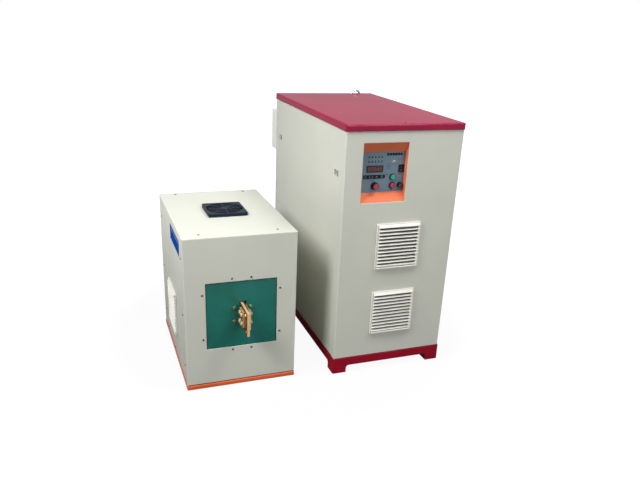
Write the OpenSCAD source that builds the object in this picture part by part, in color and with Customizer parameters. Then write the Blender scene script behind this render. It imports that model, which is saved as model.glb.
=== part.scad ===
// Induction heating machine: a power cabinet with its control recess, and the heating head beside it.
// Lengths are millimetres. Both units stand on z = 0 with their fronts towards -y.
// The origin lies in the middle of the ground that the two units cover.

/* [Cabinet] */
// Width over the lid and the plinth
cab_w = 400; // [380:5:480]
// Depth over the lid and the plinth
cab_d = 724; // [640:1:800]
// Height from the floor to the top of the lid
cab_h = 828; // [800:1:940]
// Height of the plinth
plinth_h = 54; // [46:1:64]
// Height of the lid's skirt
lid_h = 20.5; // [16:0.5:28]
// How far the lid and the plinth stand out past the body
lid_over = 3; // [2.6:0.1:5]
// Thickness of the folded sheet steel
sheet = 2; // [1.5:0.1:2.2]
// Length of the front panel's folded sides
front_fold = 27; // [24:1:34]
// Length of the rear panel's folded sides
rear_fold = 21; // [21:1:28]

/* [Control recess] */
// Width of the opening
bay_w = 151; // [146:0.5:160]
// Height of the opening
bay_h = 184; // [174:1:200]
// From the cabinet's left edge to the opening
bay_x = 60; // [50:1:90]
// From the lid's lower edge down to the opening
bay_drop = 34.5; // [28:0.5:50]
// Depth from the front panel's face to the control panel
bay_depth = 21; // [17:0.5:28]
// Height of the control panel
panel_h = 125; // [122:1:134]
// Part of the height difference that lies below the control panel
panel_low_share = 0.474; // [0.3:0.01:0.7]

/* [Controls] */
// Radius of the power knob's skirt
knob_r = 12.5; // [11:0.5:14]
// How far the power knob stands out
knob_out = 14.5; // [12:0.5:18]
// Radius of a push button's cap
button_r = 7.9; // [6.5:0.1:8.5]
// How far a push button travels
button_travel = 3; // [2:0.5:4]
// Width of the rocker switch
rocker_w = 12; // [10:0.5:12.5]
// Length of the rocker switch
rocker_l = 18; // [15:0.5:20]
// Radius of the control socket's thread
socket_r = 8; // [6:0.5:8.5]

/* [Louvre covers and fans] */
// Side of a square louvre cover
cover = 154; // [140:1:160]
// How far a louvre cover stands out
cover_out = 9.5; // [8:0.5:12]
// Slots in a louvre cover
slots = 11; // [8:1:13]
// Height of the lower louvre cover's middle
cover_z = 211; // [195:1:225]
// Distance between the two louvre covers' middles
cover_pitch = 232; // [200:1:240]
// Side of a fan's frame
fan = 120; // [110:1:124]
// Thickness of a fan's frame
fan_t = 38; // [30:1:40]
// Blades of a fan's rotor
blades = 7; // [5:1:8]

/* [Side latches] */
// Width of a latch's bezel
latch_w = 40; // [36:1:46]
// Height of a latch's bezel
latch_h = 27; // [24:1:32]
// From the cabinet's front or rear edge to a latch's middle
latch_y = 67; // [62:1:75]
// From the lid's top down to the latches' middle
latch_drop = 156; // [88:1:328]
// How far a latch slides
latch_travel = 8; // [7:0.5:8]

/* [Heating head] */
// Width over the base
head_w = 354; // [330:1:400]
// Depth over the base
head_d = 508; // [480:1:600]
// Height from the floor to the top cover
head_h = 505; // [470:1:560]
// Height of the base
base_h = 17.5; // [12:0.5:22]
// From each side of the base to the window in the front panel
window_side = 65; // [57:1:77]
// Height of the window in the front panel
window_h = 222; // [200:1:236]
// Height of the window's middle
window_z = 250; // [238:1:256]
// Side of the fan guard
guard = 127; // [122:1:130]
// Height of the fan guard
guard_h = 11; // [8:0.5:14]
// Height of the head's louvre cover's middle
side_cover_z = 183; // [140:1:250]
// From the head's front to its louvre cover's middle
side_cover_y = 253; // [180:1:320]

/* [Output plates] */
// How far the long plate stands out of the head
plate_out = 84; // [76:1:100]
// Height of the long plate
plate_h = 77; // [74:1:90]
// Thickness of each plate
plate_t = 8; // [6:0.5:10]
// Thickness of the sheet between the plates
gap_t = 2; // [1:0.5:4]
// Radius of the hole for the coil's bolt
lug_hole_r = 4.5; // [3:0.25:6]

/* [Layout] */
// Clear distance between the head and the cabinet
unit_gap = 126; // [20:1:400]
// How far the head's front stands behind the cabinet's
head_setback = 28; // [0:1:120]

/* [Hidden] */
$fn = 48;

// One overrun for every cut, and the gaps that pieces are built with
cut = 1;
fit = 0.3;
run_fit = 0.05;
seat = 0.4;

// Colours as the photograph shows them
cream = [0.80, 0.81, 0.75];
crimson = [0.72, 0.12, 0.24];
maroon = [0.53, 0.10, 0.17];
orange = [0.93, 0.47, 0.32];
panel_grey = [0.45, 0.51, 0.56];
board_green = [0.16, 0.42, 0.36];
ivory = [0.90, 0.89, 0.84];
near_black = [0.09, 0.11, 0.14];
copper = [0.82, 0.60, 0.40];
brass_tone = [0.83, 0.68, 0.42];
steel_tone = [0.72, 0.74, 0.76];
zinc = [0.62, 0.64, 0.66];
red_plastic = [0.78, 0.13, 0.16];
green_plastic = [0.14, 0.62, 0.45];
brown = [0.42, 0.25, 0.16];

// Cabinet body: the folded shell inside the lid's and the plinth's outline
body_w = cab_w - 2 * lid_over;
body_d = cab_d - 2 * lid_over;
body_front = lid_over;
body_back = cab_d - lid_over;
body_side = lid_over;
bend_r = 3;
lid_under = cab_h - lid_h;
lid_edge_r = 5.5;
lid_corner_r = 8;
shell_top = cab_h - lid_edge_r - fit;
seam = 0.5;

// Plinth
plinth_r = 6;
plinth_t = 3;
plinth_flange = 33;
foot_w = 48;
foot_t = 4;
rail_gap = 26;
rail_r = 10;

// Side panels and their latches
side_y = body_front + front_fold + seam;
side_l = body_d - front_fold - rear_fold - 2 * seam;
side_z = plinth_h + seam;
side_h = shell_top - side_z;
side_fold = 15;
side_bend_r = 2.5;
side_corner_r = 3;
latch_z = cab_h - latch_drop;
latch_proud = 0.8;
latch_wall = 2;
latch_depth = 9.5;
latch_edge_r = 2;
tongue_t = 3;
tongue_w = 12;
tongue_grip = 6;
slider_l = 18;
slider_back = 6;
finger_w = 5;
finger_gap = 1.5;

// Inner frame of the cabinet
post_w = 18;
post_t = 3;
post_x = body_side + sheet + seat;
post_y = body_front + sheet + seat;
frame_top = cab_h - sheet;
rail_drop = 26;
rail_w = 21;
rail_x = body_side + side_fold + cut;
cross_front_y = 200;
cross_rear_y = 560;
pan_x = rail_x;
pan_y = post_y + post_w + cut;
pan_rim = 12;

// Control recess
bay_top = lid_under - bay_drop;
bay_z = bay_top - bay_h;
bay_y = body_front + sheet;
panel_y = body_front + bay_depth;
panel_t = 2;
panel_z = bay_z + (bay_h - panel_h) * panel_low_share;
bay_wall = 1.5;
bay_lip = 3;
bay_flange = 12;

// Places on the control panel, as shares of its width and height
knob_share = [0.355, 0.16];
start_share = [0.745, 0.367];
stop_share = [0.748, 0.157];
rocker_share = [0.925, 0.576];
toggle_share = [0.748, 0.752];
socket_share = [0.922, 0.16];
display_share = [0.336, 0.585];
keypad_share = [0.334, 0.388];
led_share = [0.195, 0.888];
dot_share = [0.602, 0.702];
spacer_shares = [[0.075, 0.27], [0.60, 0.27], [0.075, 0.935], [0.60, 0.935]];

// Controls
knob_gap = 0.5;
knob_skirt = 3.5;
knob_waist = 2.2;
knob_flute_r = 1.3;
knob_flutes = 14;
shaft_r = 3;
shaft_in = 10;
cap_r = 8.4;
cap_t = 2.5;
cap_sink = 1.2;
pot_r = 8.5;
pot_t = 11;
button_out = 8;
button_in = 12;
button_edge = 1;
bezel_w = 2.8;
bezel_t = 3;
bezel_edge = 0.8;
barrel_w = 1.2;
barrel_in = 20;
nut_t = 3;
rocker_rim = 3;
rocker_rim_t = 1.5;
rocker_wall = 1.2;
rocker_in = 18;
rocker_axle = 1.5;
rocker_axle_r = 1.2;
rocker_tilt = 8;
rocker_rise = 2.2;
rocker_dip = 1.3;
rocker_root = 7;
toggle_nut_r = 4.6;
toggle_nut_t = 2;
bush_r = 3;
bush_out = 4.5;
toggle_ball_r = 1.9;
toggle_root_r = 1.0;
toggle_tip_r = 1.9;
toggle_l = 13;
toggle_tilt = 12;
toggle_body = [8, 13, 9];
display_w = 55.2;
display_h = 21.5;
display_t = 1.5;
display_rim = 2;
keypad_w = 74;
keypad_h = 12;
keypad_t = 0.6;
led_r = 1.5;
led_pitch = 10.7;
led_rows = 14;
led_in = 3;
led_out = 0.6;
dot_r = 1.1;
dot_pitch = 8.8;
dot_rows = 10;
socket_flange = 1.5;
socket_flange_t = 1.5;
socket_out = 8.5;
socket_wall = 1.4;
socket_face = 1;
socket_in = 18;
board_t = 1.6;
board_in = 23;
board_w = 118;
board_h = 94;
board_rim = 2;
spacer_r = 3;
driver_t = 6;

// Louvre cover, measured outwards from the sheet that it sits on
cover_r = 5;
cover_base = 5;
cover_band = 10;
cover_head = 13;
cover_foot = 12;
blade_end = 6;
blade_t = 1.8;
blade_back = 2.6;
blade_rise_share = 0.38;
fan_lip = 2;
duct_r = fan / 2 - fan_lip;
mat_t = 2.4;

// Fan
fan_r = 6;
fan_bore_r = fan / 2 - fan_lip;
fan_rim_t = 4;
fan_hole_share = 0.4367;
fan_hole_r = 2.2;
fan_boss_r = 4.6;
fan_tube_t = 1.7;
motor_r = 22;
motor_t = 8;
strut_w = 6;
axle_r = 2.5;
axle_l = 5;
rotor_gap = 2;
hub_r = 20;
hub_t = 20;
blade_arc_r = 34;
blade_w = 24;
blade_sheet = 1.6;
blade_pitch = 38;

// Rear of the cabinet
box_x = 10;
box_w = 140;
box_h = 155;
box_drop = 222;
box_z = cab_h - box_drop;
box_out = 84;
box_hole = 12;
gland_r = 11;
gland_bore_r = 8;
gland_hex_r = 14;
gland_hex_t = 6;
gland_nut_t = 14;
gland_tail = 10;
box_gland_share = [0.3, 0.7];
mains_x = 90;
rear_port_z = 140;
water_x = 290;
water_pitch = 50;
nipple_r = 8.5;
nipple_bore_r = 5;
nipple_out = 30;
nipple_hex_r = 13;
nipple_hex_t = 7;
manifold_h = 28;
manifold_d = 30;
earth_x = 200;
earth_r = 4;
earth_out = 22;
earth_nut_r = 7.5;
earth_nut_t = 6.5;
vent_w = 70;
vent_h = 5;
vent_pitch = 14;
vent_rows = 12;
vent_z = 240;
vent_gap = 24;
eye_x = 337;
eye_out = 14;
eye_r = 17.5;
eye_rod_r = 4.5;
eye_base_r = 9;
eye_base_t = 5;
eye_rise = 14;
eye_top = cab_h + eye_rise;
eye_plate_w = 44;
eye_plate_h = 34;
eye_plate_t = 5;
eye_shelf_d = 30;

// Inside the cabinet
plate_x = cab_w / 2;
plate_y = 150;
plate_rear = 104;
plate_l = cab_d - plate_y - plate_rear;
plate_sheet = 3;
plate_foot = 30;
sink_t = 15;
sink_y = 230;
sink_l = 290;
sink_z = 330;
sink_h = 180;
sink_port_r = 6;
sink_port_l = 18;
module_w = 62;
module_h = 106;
module_t = 30;
module_pitch = 90;
modules = 3;
first_module = sink_y + (sink_l - (modules - 1) * module_pitch) / 2;
module_lug_r = 6;
module_lug_t = 3;
module_step = 6;
can_gap = 8;
can_side = 12;
can_pitch = (plate_x - pan_x - can_side) / 2;
can_r = (can_pitch - can_gap) / 2;
can_h = 145;
can_x = plate_x - can_side - can_r;
can_y = 256;
can_rows = 3;
can_lug_r = 5;
can_lug_t = 6;
can_lug_x = 12;
can_rim = 2;
bar_w = 20;
bar_t = 3;
riser_w = 22;
choke_gap = 2;
choke_side = 28;
choke_x = plate_x + plate_foot + choke_gap;
choke_y = 250;
choke_w = cab_w - choke_side - choke_x;
choke_d = 70;
choke_h = 150;
choke_leg = 24;
coil_t = 18;
coil_r = 10;
breaker_w = 105;
breaker_h = 165;
breaker_d = 70;
breaker_step = 14;
breaker_y = 440;
breaker_z = 540;
breaker_face_share = 0.5;
lever_barrel_r = 11;
lever_w = 12;
lever_out = 20;
lever_t = 8;
lever_slot = 14;

// Heating head
head_x = -unit_gap - head_w;
head_y = head_setback;
head_inset = 1.5;
head_body_w = head_w - 2 * head_inset;
head_body_d = head_d - 2 * head_inset;
head_fold = 25;
base_r = 5;
base_flange = 26;
top_z = head_h - sheet;
head_shell_h = top_z - base_h;
head_post_w = 20;
head_post_t = 2;
window_x = window_side;
window_w = head_w - 2 * window_side;
board_lap = 20;
board_thick = 8;
window_screw_gap = 10;
window_screw_span = 150;
window_screw_row = 60;
head_screw_y = 38;
top_screw_in = 56;
top_screw_front = 36;
top_screw_rear = 22;
head_screw_low = 9;
screw_r = 3.6;
screw_t = 2;
screw_neck_r = 2;
screw_edge = 0.7;
fan_back_y = 256;
fan_shift = 4;
guard_r = 5;
guard_rim = 5;
guard_rings = 5;
guard_ring_w = 2.2;
guard_hub_r = 14;
guard_spokes = 8;
guard_spoke_w = 2.4;
guard_base = 3;

// Output plates, their clamp and their bolts
plates_shift = 5;
flange_shift = 2;
short_out = 57;
short_h = 60;
bolt_edge = 1;
bolt_socket_r = 4;
bolt_socket_d = 2.5;
plate_in = 40;
slot_fit = 0.5;
wing_w = 62;
clamp_t = 5;
clamp_in = 4;
clamp_l = 42;
clamp_h = 50;
clamp_bolt_y = 16;
clamp_bolt_pitch = 21;
clamp_bolt_z = 29;
bolt_r = 4;
bolt_gap = 0.5;
bolt_head_r = 7.4;
bolt_head_t = 4.5;
bolt_nut_t = 6.5;
bolt_tail = 3;
sheet_lap = 3;
lug_edge = 14;
lug_drop = 27;
lug_screw_r = 5;
lug_screw_t = 4;
flange_screw_x = 52;
flange_screw_z = 46;
flange_screw_r = 5;
flange_screw_t = 3.4;

// Inside the head
core_w = 140;
core_h = 130;
core_d = 120;
core_leg = 26;
core_gap = 1;
stand_t = 3;
stand_leg = 22;
winding_t = 12;
winding_r = 8;
tank_d = 56;
tank_h = 110;
tank_x = 46;
tank_gap = 10;
tanks = 4;
tank_pitch = (head_w - 2 * tank_x + tank_gap) / tanks;
tank_w = tank_pitch - tank_gap;
tank_y = 330;
tank_r = 8;
tank_lug_r = 6;
tank_lug_t = 12;
head_gland_x = 90;
head_port_z = 90;
head_water_x = 200;

// The ground that both units cover, which sets the origin
left_reach = head_x + head_inset - cover_out;
right_reach = cab_w;
front_reach = min(head_y + head_inset - plate_out, body_front - cover_out);
back_reach = max(body_back + box_out + screw_t, head_y + head_d - head_inset + nipple_out);

// Shapes that several sub-parts share

// A rectangle with round corners, its lower left corner at the origin
module round_rect(w, d, r) {
    translate([r, 0]) square([w - 2 * r, d]);
    translate([0, r]) square([w, d - 2 * r]);
    for (x = [r, w - r], y = [r, d - r]) translate([x, y]) circle(r);
}

// A rectangle whose two lower corners are round, as a folded edge is
module fold_outline(w, d, r) {
    translate([r, 0]) square([w - 2 * r, d]);
    translate([0, r]) square([w, d - r]);
    for (x = [r, w - r]) translate([x, r]) circle(r);
}

// A sheet folded into a U: its face at the front, and a side folded back at each end
module folded_panel(w, side, h) {
    linear_extrude(h) difference() {
        fold_outline(w, side, bend_r);
        translate([sheet, sheet]) fold_outline(w - 2 * sheet, side, bend_r - sheet);
    }
}

// A shallow tray, its face down and its rim folded up, with round bends and corners
module tray(w, d, rim, t, edge_r, corner_r) {
    difference() {
        intersection() {
            translate([0, d, 0]) rotate([90, 0, 0]) linear_extrude(d) fold_outline(w, rim, edge_r);
            rotate([90, 0, 90]) linear_extrude(w) fold_outline(d, rim, edge_r);
            linear_extrude(rim) round_rect(w, d, corner_r);
        }
        translate([t, t, t]) linear_extrude(rim) round_rect(w - 2 * t, d - 2 * t, corner_r - t);
    }
}

// A cylinder with a bevelled front edge
module bevelled(r, h, edge) {
    cylinder(r = r, h = h - edge);
    translate([0, 0, h - edge]) cylinder(r1 = r, r2 = r - edge, h = edge);
}

// Pan-head screw, its seat at z = 0
module pan_head() {
    bevelled(screw_r, screw_t, screw_edge);
}

// Place things on a face: x stays or turns along the face, y turns up, z points out of the unit
module on_front(x, y, z) { translate([x, y, z]) rotate([90, 0, 0]) children(); }
module on_left(x, y, z) { translate([x, y, z]) rotate([90, 0, -90]) children(); }
module on_right(x, y, z) { translate([x, y, z]) rotate([90, 0, 90]) children(); }
module on_back(x, y, z) { translate([x, y, z]) rotate([90, 0, 180]) children(); }

// Move a unit from its own corner to the shared origin
module cabinet() {
    translate([-(left_reach + right_reach) / 2, -(front_reach + back_reach) / 2, 0]) children();
}
module head() {
    cabinet() translate([head_x, head_y, 0]) children();
}

// Mirror a left-hand piece of the cabinet to the right
module other_side() {
    translate([cab_w, 0, 0]) mirror([1, 0, 0]) children();
}

// Mirror a front piece of the cabinet to the rear
module other_end() {
    translate([0, cab_d, 0]) mirror([0, 1, 0]) children();
}

// Place things on the control panel's face by shares of its width and height
module on_panel(share) {
    on_front(bay_x + share[0] * bay_w, panel_y, panel_z + share[1] * panel_h) children();
}

// Cabinet shell

// The arch between two feet, cut through the plinth along z
module rail_arch(l) {
    translate([foot_w, -cut]) square([l - 2 * foot_w, rail_gap + cut - rail_r]);
    translate([foot_w + rail_r, 0]) square([l - 2 * (foot_w + rail_r), rail_gap]);
    for (x = [foot_w + rail_r, l - foot_w - rail_r]) translate([x, rail_gap - rail_r]) circle(rail_r);
}

// Red plinth: a folded skirt on four box feet, with a flange that carries the body
module plinth() {
    color(maroon) cabinet() {
        difference() {
            linear_extrude(plinth_h) round_rect(cab_w, cab_d, plinth_r);
            translate([plinth_t, plinth_t, -cut])
                linear_extrude(plinth_h - plinth_t + cut)
                    round_rect(cab_w - 2 * plinth_t, cab_d - 2 * plinth_t, plinth_r - plinth_t);
            translate([plinth_flange, plinth_flange, 0])
                cube([cab_w - 2 * plinth_flange, cab_d - 2 * plinth_flange, plinth_h + cut]);
            translate([0, cab_d + cut, 0]) rotate([90, 0, 0])
                linear_extrude(cab_d + 2 * cut) rail_arch(cab_w);
            translate([-cut, 0, 0]) rotate([90, 0, 90])
                linear_extrude(cab_w + 2 * cut) rail_arch(cab_d);
        }
        linear_extrude(foot_t) intersection() {
            round_rect(cab_w, cab_d, plinth_r);
            for (x = [0, cab_w - foot_w], y = [0, cab_d - foot_w]) translate([x, y]) square(foot_w);
        }
    }
}

// Floor pan that closes the bottom and carries the capacitors and the choke
module floor_pan() {
    pan_w = cab_w - 2 * pan_x;
    pan_d = cab_d - 2 * pan_y;
    color(zinc) cabinet() translate([pan_x, pan_y, plinth_h])
        tray(pan_w, pan_d, pan_rim, sheet, side_bend_r, side_corner_r);
}

// Equal angle standing on end, its corner at the origin
module angle_post(w, t, h) {
    cube([w, t, h]);
    cube([t, w, h]);
}

// Welded angle frames inside both units
module inner_frames() {
    post_h = frame_top - plinth_h;
    inside_w = cab_w - 2 * post_x;
    inside_d = cab_d - 2 * post_y;
    color(zinc) {
        cabinet() {
            for (side = [0, 1], end = [0, 1]) {
                translate([side * cab_w, end * cab_d, 0]) mirror([side, 0, 0]) mirror([0, end, 0])
                    translate([post_x, post_y, plinth_h]) angle_post(post_w, post_t, post_h);
            }
            for (side = [0, 1]) {
                translate([side * cab_w, 0, 0]) mirror([side, 0, 0]) {
                    translate([rail_x, post_y, frame_top - rail_drop]) cube([post_t, inside_d, rail_drop]);
                    translate([rail_x, post_y, frame_top - post_t]) cube([rail_w, inside_d, post_t]);
                }
            }
            for (end = [0, 1]) {
                translate([0, end * cab_d, 0]) mirror([0, end, 0])
                    translate([post_x, post_y, frame_top - rail_drop]) cube([inside_w, post_t, rail_drop]);
            }
            for (y = [cross_front_y, cross_rear_y]) {
                translate([rail_x, y, frame_top - rail_w]) cube([cab_w - 2 * rail_x, post_t, rail_w]);
                translate([rail_x, y, frame_top - rail_w]) cube([cab_w - 2 * rail_x, post_w, post_t]);
            }
        }
        head() {
            inside = head_inset + sheet + seat;
            for (side = [0, 1], end = [0, 1]) {
                translate([side * head_w, end * head_d, 0]) mirror([side, 0, 0]) mirror([0, end, 0])
                    translate([inside, inside, base_h])
                        angle_post(head_post_w, head_post_t, top_z - base_h);
            }
            for (end = [0, 1]) {
                translate([0, end * head_d, 0]) mirror([0, end, 0])
                    translate([inside, inside, top_z - head_post_w])
                        cube([head_w - 2 * inside, head_post_t, head_post_w]);
            }
            for (side = [0, 1]) {
                translate([side * head_w, 0, 0]) mirror([side, 0, 0])
                    translate([inside, inside, top_z - head_post_w])
                        cube([head_post_t, head_d - 2 * inside, head_post_w]);
            }
        }
    }
}

// Front panel with the recess opening and two fan openings
module front_panel() {
    color(cream) cabinet() difference() {
        translate([body_side, body_front, plinth_h]) folded_panel(body_w, front_fold, shell_top - plinth_h);
        translate([bay_x, 0, bay_z]) cube([bay_w, body_front + sheet + cut, bay_h]);
        for (z = [cover_z, cover_z + cover_pitch])
            on_front(cab_w / 2, body_front + sheet + cut, z) cylinder(r = duct_r, h = sheet + 2 * cut);
    }
}

// Rear panel with its slots, the terminal opening and the ports
module rear_panel() {
    color(cream) cabinet() difference() {
        other_end() translate([body_side, lid_over, plinth_h])
            folded_panel(body_w, rear_fold, shell_top - plinth_h);
        translate([box_x + box_hole, body_back - sheet - cut, box_z + box_hole])
            cube([box_w - 2 * box_hole, sheet + 2 * cut, box_h - 2 * box_hole]);
        for (i = [0 : vent_rows - 1], side = [-1, 1])
            translate([cab_w / 2 + side * (vent_w + vent_gap) / 2 - vent_w / 2,
                body_back - sheet - cut, vent_z + i * vent_pitch]) rear_slot();
        on_back(mains_x, body_back - sheet - cut, rear_port_z) cylinder(r = gland_r + fit, h = sheet + 2 * cut);
        for (i = [0, 1]) on_back(water_x + i * water_pitch, body_back - sheet - cut, rear_port_z)
            cylinder(r = nipple_r + fit, h = sheet + 2 * cut);
    }
}

// One slot with round ends, cut along y
module rear_slot() {
    rotate([90, 0, 0]) translate([0, 0, -sheet - 2 * cut]) linear_extrude(sheet + 2 * cut) {
        translate([vent_h / 2, 0]) square([vent_w - vent_h, vent_h]);
        for (x = [vent_h / 2, vent_w - vent_h / 2]) translate([x, vent_h / 2]) circle(vent_h / 2);
    }
}

// Left side panel: a tray between the folds of the front and rear panels, cut for its two latches
module side_panel() {
    cup_w = latch_w - 2 * latch_wall + 2 * fit;
    cup_h = latch_h - 2 * latch_wall + 2 * fit;
    slot_z = latch_depth - tongue_t - 2 * fit;
    difference() {
        translate([body_side, side_y, side_z]) rotate([90, 0, 90])
            tray(side_l, side_h, side_fold, sheet, side_bend_r, side_corner_r);
        for (y = [latch_y, cab_d - latch_y]) {
            translate([body_side - cut, y - cup_w / 2, latch_z - cup_h / 2])
                cube([sheet + 2 * cut, cup_w, cup_h]);
        }
        translate([body_side + slot_z, side_y - cut, latch_z - tongue_w / 2 - fit])
            cube([tongue_t + 4 * fit, side_l + 2 * cut, tongue_w + 2 * fit]);
    }
}
module left_side_panel() { color(cream) cabinet() side_panel(); }
module right_side_panel() { color(cream) cabinet() other_side() side_panel(); }

// Crimson lid: a deep-drawn cap with round edges that drops over the shell
module lid() {
    color(crimson) cabinet() translate([0, cab_d, cab_h]) rotate([180, 0, 0])
        tray(cab_w, cab_d, lid_h, sheet, lid_edge_r, lid_corner_r);
}

// Control recess

// Section of the recess from front to back, with its raked top and bottom
module bay_section(grow, front, back) {
    polygon([[front, bay_z - grow], [front, bay_top + grow], [panel_y, panel_z + panel_h + grow],
        [back, panel_z + panel_h + grow], [back, panel_z - grow], [panel_y, panel_z - grow]]);
}

// Orange recess: a folded hopper with a flange behind the front panel and a lip behind the control panel
module control_bay() {
    lip_y = panel_y + panel_t;
    color(orange) cabinet() difference() {
        union() {
            translate([bay_x - bay_wall, 0, 0]) rotate([90, 0, 90])
                linear_extrude(bay_w + 2 * bay_wall) bay_section(bay_wall, bay_y, lip_y + bay_wall);
            translate([bay_x - bay_flange, bay_y, bay_z - bay_flange])
                cube([bay_w + 2 * bay_flange, bay_wall, bay_h + 2 * bay_flange]);
        }
        translate([bay_x, 0, 0]) rotate([90, 0, 90]) linear_extrude(bay_w) bay_section(0, bay_y - cut, lip_y);
        translate([bay_x, bay_y - cut, bay_z]) cube([bay_w, cut + run_fit, bay_h]);
        translate([bay_x + bay_lip, lip_y - cut, panel_z + bay_lip])
            cube([bay_w - 2 * bay_lip, bay_wall + 2 * cut, panel_h - 2 * bay_lip]);
    }
}

// Hole in the control panel for a round control
module panel_hole(share, r) {
    on_panel(share) translate([0, 0, -panel_t - cut]) cylinder(r = r, h = panel_t + 2 * cut);
}

// Centre a box cut in the control panel
module panel_window(share, w, h) {
    on_panel(share) translate([-w / 2, -h / 2, -panel_t - cut]) cube([w, h, panel_t + 2 * cut]);
}

// Put children at each of the ten lamps and the four small lamps
module at_leds() {
    for (row = [0, 1], i = [0 : 4]) on_panel(led_share)
        translate([i * led_pitch, -row * led_rows, 0]) children();
}
module at_dots() {
    for (row = [0, 1], i = [0, 1]) on_panel(dot_share)
        translate([i * dot_pitch, -row * dot_rows, 0]) children();
}

// Blue-grey control panel, drilled for every control
module control_panel() {
    rocker_room = 2 * (rocker_wall + 2 * fit);
    color(panel_grey) cabinet() difference() {
        translate([bay_x + fit, panel_y, panel_z + fit])
            cube([bay_w - 2 * fit, panel_t, panel_h - 2 * fit]);
        panel_hole(knob_share, shaft_r + run_fit);
        panel_hole(start_share, button_r + fit + barrel_w + fit);
        panel_hole(stop_share, button_r + fit + barrel_w + fit);
        panel_hole(socket_share, socket_r - socket_flange + fit);
        panel_hole(toggle_share, bush_r + fit);
        panel_window(rocker_share, rocker_w + rocker_room, rocker_l + rocker_room);
        panel_window(display_share, display_w - 2 * display_rim, display_h - 2 * display_rim);
        at_leds() translate([0, 0, -panel_t - cut]) cylinder(r = led_r + fit / 2, h = panel_t + 2 * cut);
        at_dots() translate([0, 0, -panel_t - cut]) cylinder(r = dot_r + fit / 2, h = panel_t + 2 * cut);
    }
}

// Power knob with a fluted grip on its shaft
module power_knob() {
    grip_r = knob_r - knob_waist;
    color(near_black) cabinet() on_panel(knob_share) {
        translate([0, 0, -shaft_in]) cylinder(r = shaft_r, h = shaft_in + knob_skirt);
        difference() {
            union() {
                translate([0, 0, knob_gap])
                    cylinder(r1 = knob_r, r2 = grip_r + knob_flute_r / 2, h = knob_skirt);
                translate([0, 0, knob_gap])
                    bevelled(grip_r, knob_out - knob_gap - cap_t + cap_sink, button_edge);
            }
            for (i = [0 : knob_flutes - 1]) rotate(i * 360 / knob_flutes)
                translate([grip_r + knob_flute_r / 2, 0, knob_gap + knob_skirt])
                    cylinder(r = knob_flute_r, h = knob_out);
            translate([0, 0, knob_out - cap_t]) cylinder(r = cap_r + fit / 2, h = cap_t);
        }
    }
}

// Red insert in the knob's face
module knob_cap() {
    color(red_plastic) cabinet() on_panel(knob_share) translate([0, 0, knob_out - cap_t])
        bevelled(cap_r, cap_t, button_edge / 2);
}

// Push button: a round cap on a plunger
module push_button() {
    translate([0, 0, -button_in]) bevelled(button_r, button_in + button_out, button_edge);
}
module start_button() { color(green_plastic) cabinet() on_panel(start_share) push_button(); }
module stop_button() { color(red_plastic) cabinet() on_panel(stop_share) push_button(); }

// Barrel and bezel that a push button slides in, with its nut behind the panel
module button_housing() {
    bore_r = button_r + fit;
    barrel_r = bore_r + barrel_w;
    difference() {
        union() {
            bevelled(bore_r + bezel_w, bezel_t, bezel_edge);
            translate([0, 0, -barrel_in]) cylinder(r = barrel_r, h = barrel_in);
            translate([0, 0, -panel_t - nut_t]) cylinder(r = barrel_r + bezel_w, h = nut_t, $fn = 6);
        }
        translate([0, 0, -barrel_in + barrel_w]) cylinder(r = bore_r, h = barrel_in + bezel_t);
    }
}

// Frame of the rocker switch, with bores for its axle
module rocker_housing() {
    in_w = rocker_w + 2 * fit;
    in_l = rocker_l + 2 * fit;
    out_w = in_w + 2 * rocker_wall;
    out_l = in_l + 2 * rocker_wall;
    difference() {
        union() {
            translate([-rocker_w / 2 - rocker_rim, -rocker_l / 2 - rocker_rim, 0])
                linear_extrude(rocker_rim_t)
                    round_rect(rocker_w + 2 * rocker_rim, rocker_l + 2 * rocker_rim, rocker_rim_t);
            translate([-out_w / 2, -out_l / 2, -rocker_in]) cube([out_w, out_l, rocker_in]);
        }
        translate([-in_w / 2, -in_l / 2, -rocker_in + rocker_wall])
            cube([in_w, in_l, rocker_in + rocker_rim_t]);
        translate([-out_w / 2 - cut, 0, -rocker_axle]) rotate([0, 90, 0])
            cylinder(r = rocker_axle_r + run_fit, h = out_w + 2 * cut);
    }
}
module switch_bezels() {
    color(near_black) cabinet() {
        on_panel(start_share) button_housing();
        on_panel(stop_share) button_housing();
        on_panel(rocker_share) rocker_housing();
    }
}

// Rocker, tilted to its off side on its axle
module rocker() {
    half = rocker_l / 2 - 2 * fit;
    top = rocker_rise + rocker_axle;
    low = half - rocker_axle;
    axle_half = rocker_w / 2 + fit + rocker_wall / 2;
    color(near_black) cabinet() on_panel(rocker_share) translate([0, 0, -rocker_axle])
        rotate([rocker_tilt, 0, 0]) {
            rotate([90, 0, 90]) translate([0, 0, -rocker_w / 2]) linear_extrude(rocker_w)
                polygon([[-half, top], [0, rocker_dip + rocker_axle], [half, top], [low, -rocker_axle],
                    [0, -rocker_root], [-low, -rocker_axle]]);
            rotate([0, 90, 0]) translate([0, 0, -axle_half]) cylinder(r = rocker_axle_r, h = 2 * axle_half);
        }
}

// Threaded bush, nut and body of the small toggle switch
module toggle_bush() {
    color(steel_tone) cabinet() on_panel(toggle_share) difference() {
        union() {
            cylinder(r = toggle_nut_r, h = toggle_nut_t, $fn = 6);
            translate([0, 0, -panel_t]) cylinder(r = bush_r, h = panel_t + bush_out);
            translate([-toggle_body[0] / 2, -toggle_body[1] / 2, -panel_t - toggle_body[2]]) cube(toggle_body);
        }
        sphere(r = toggle_ball_r + fit);
        cylinder(r1 = toggle_ball_r, r2 = bush_r - fit, h = bush_out + run_fit);
    }
}

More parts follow.
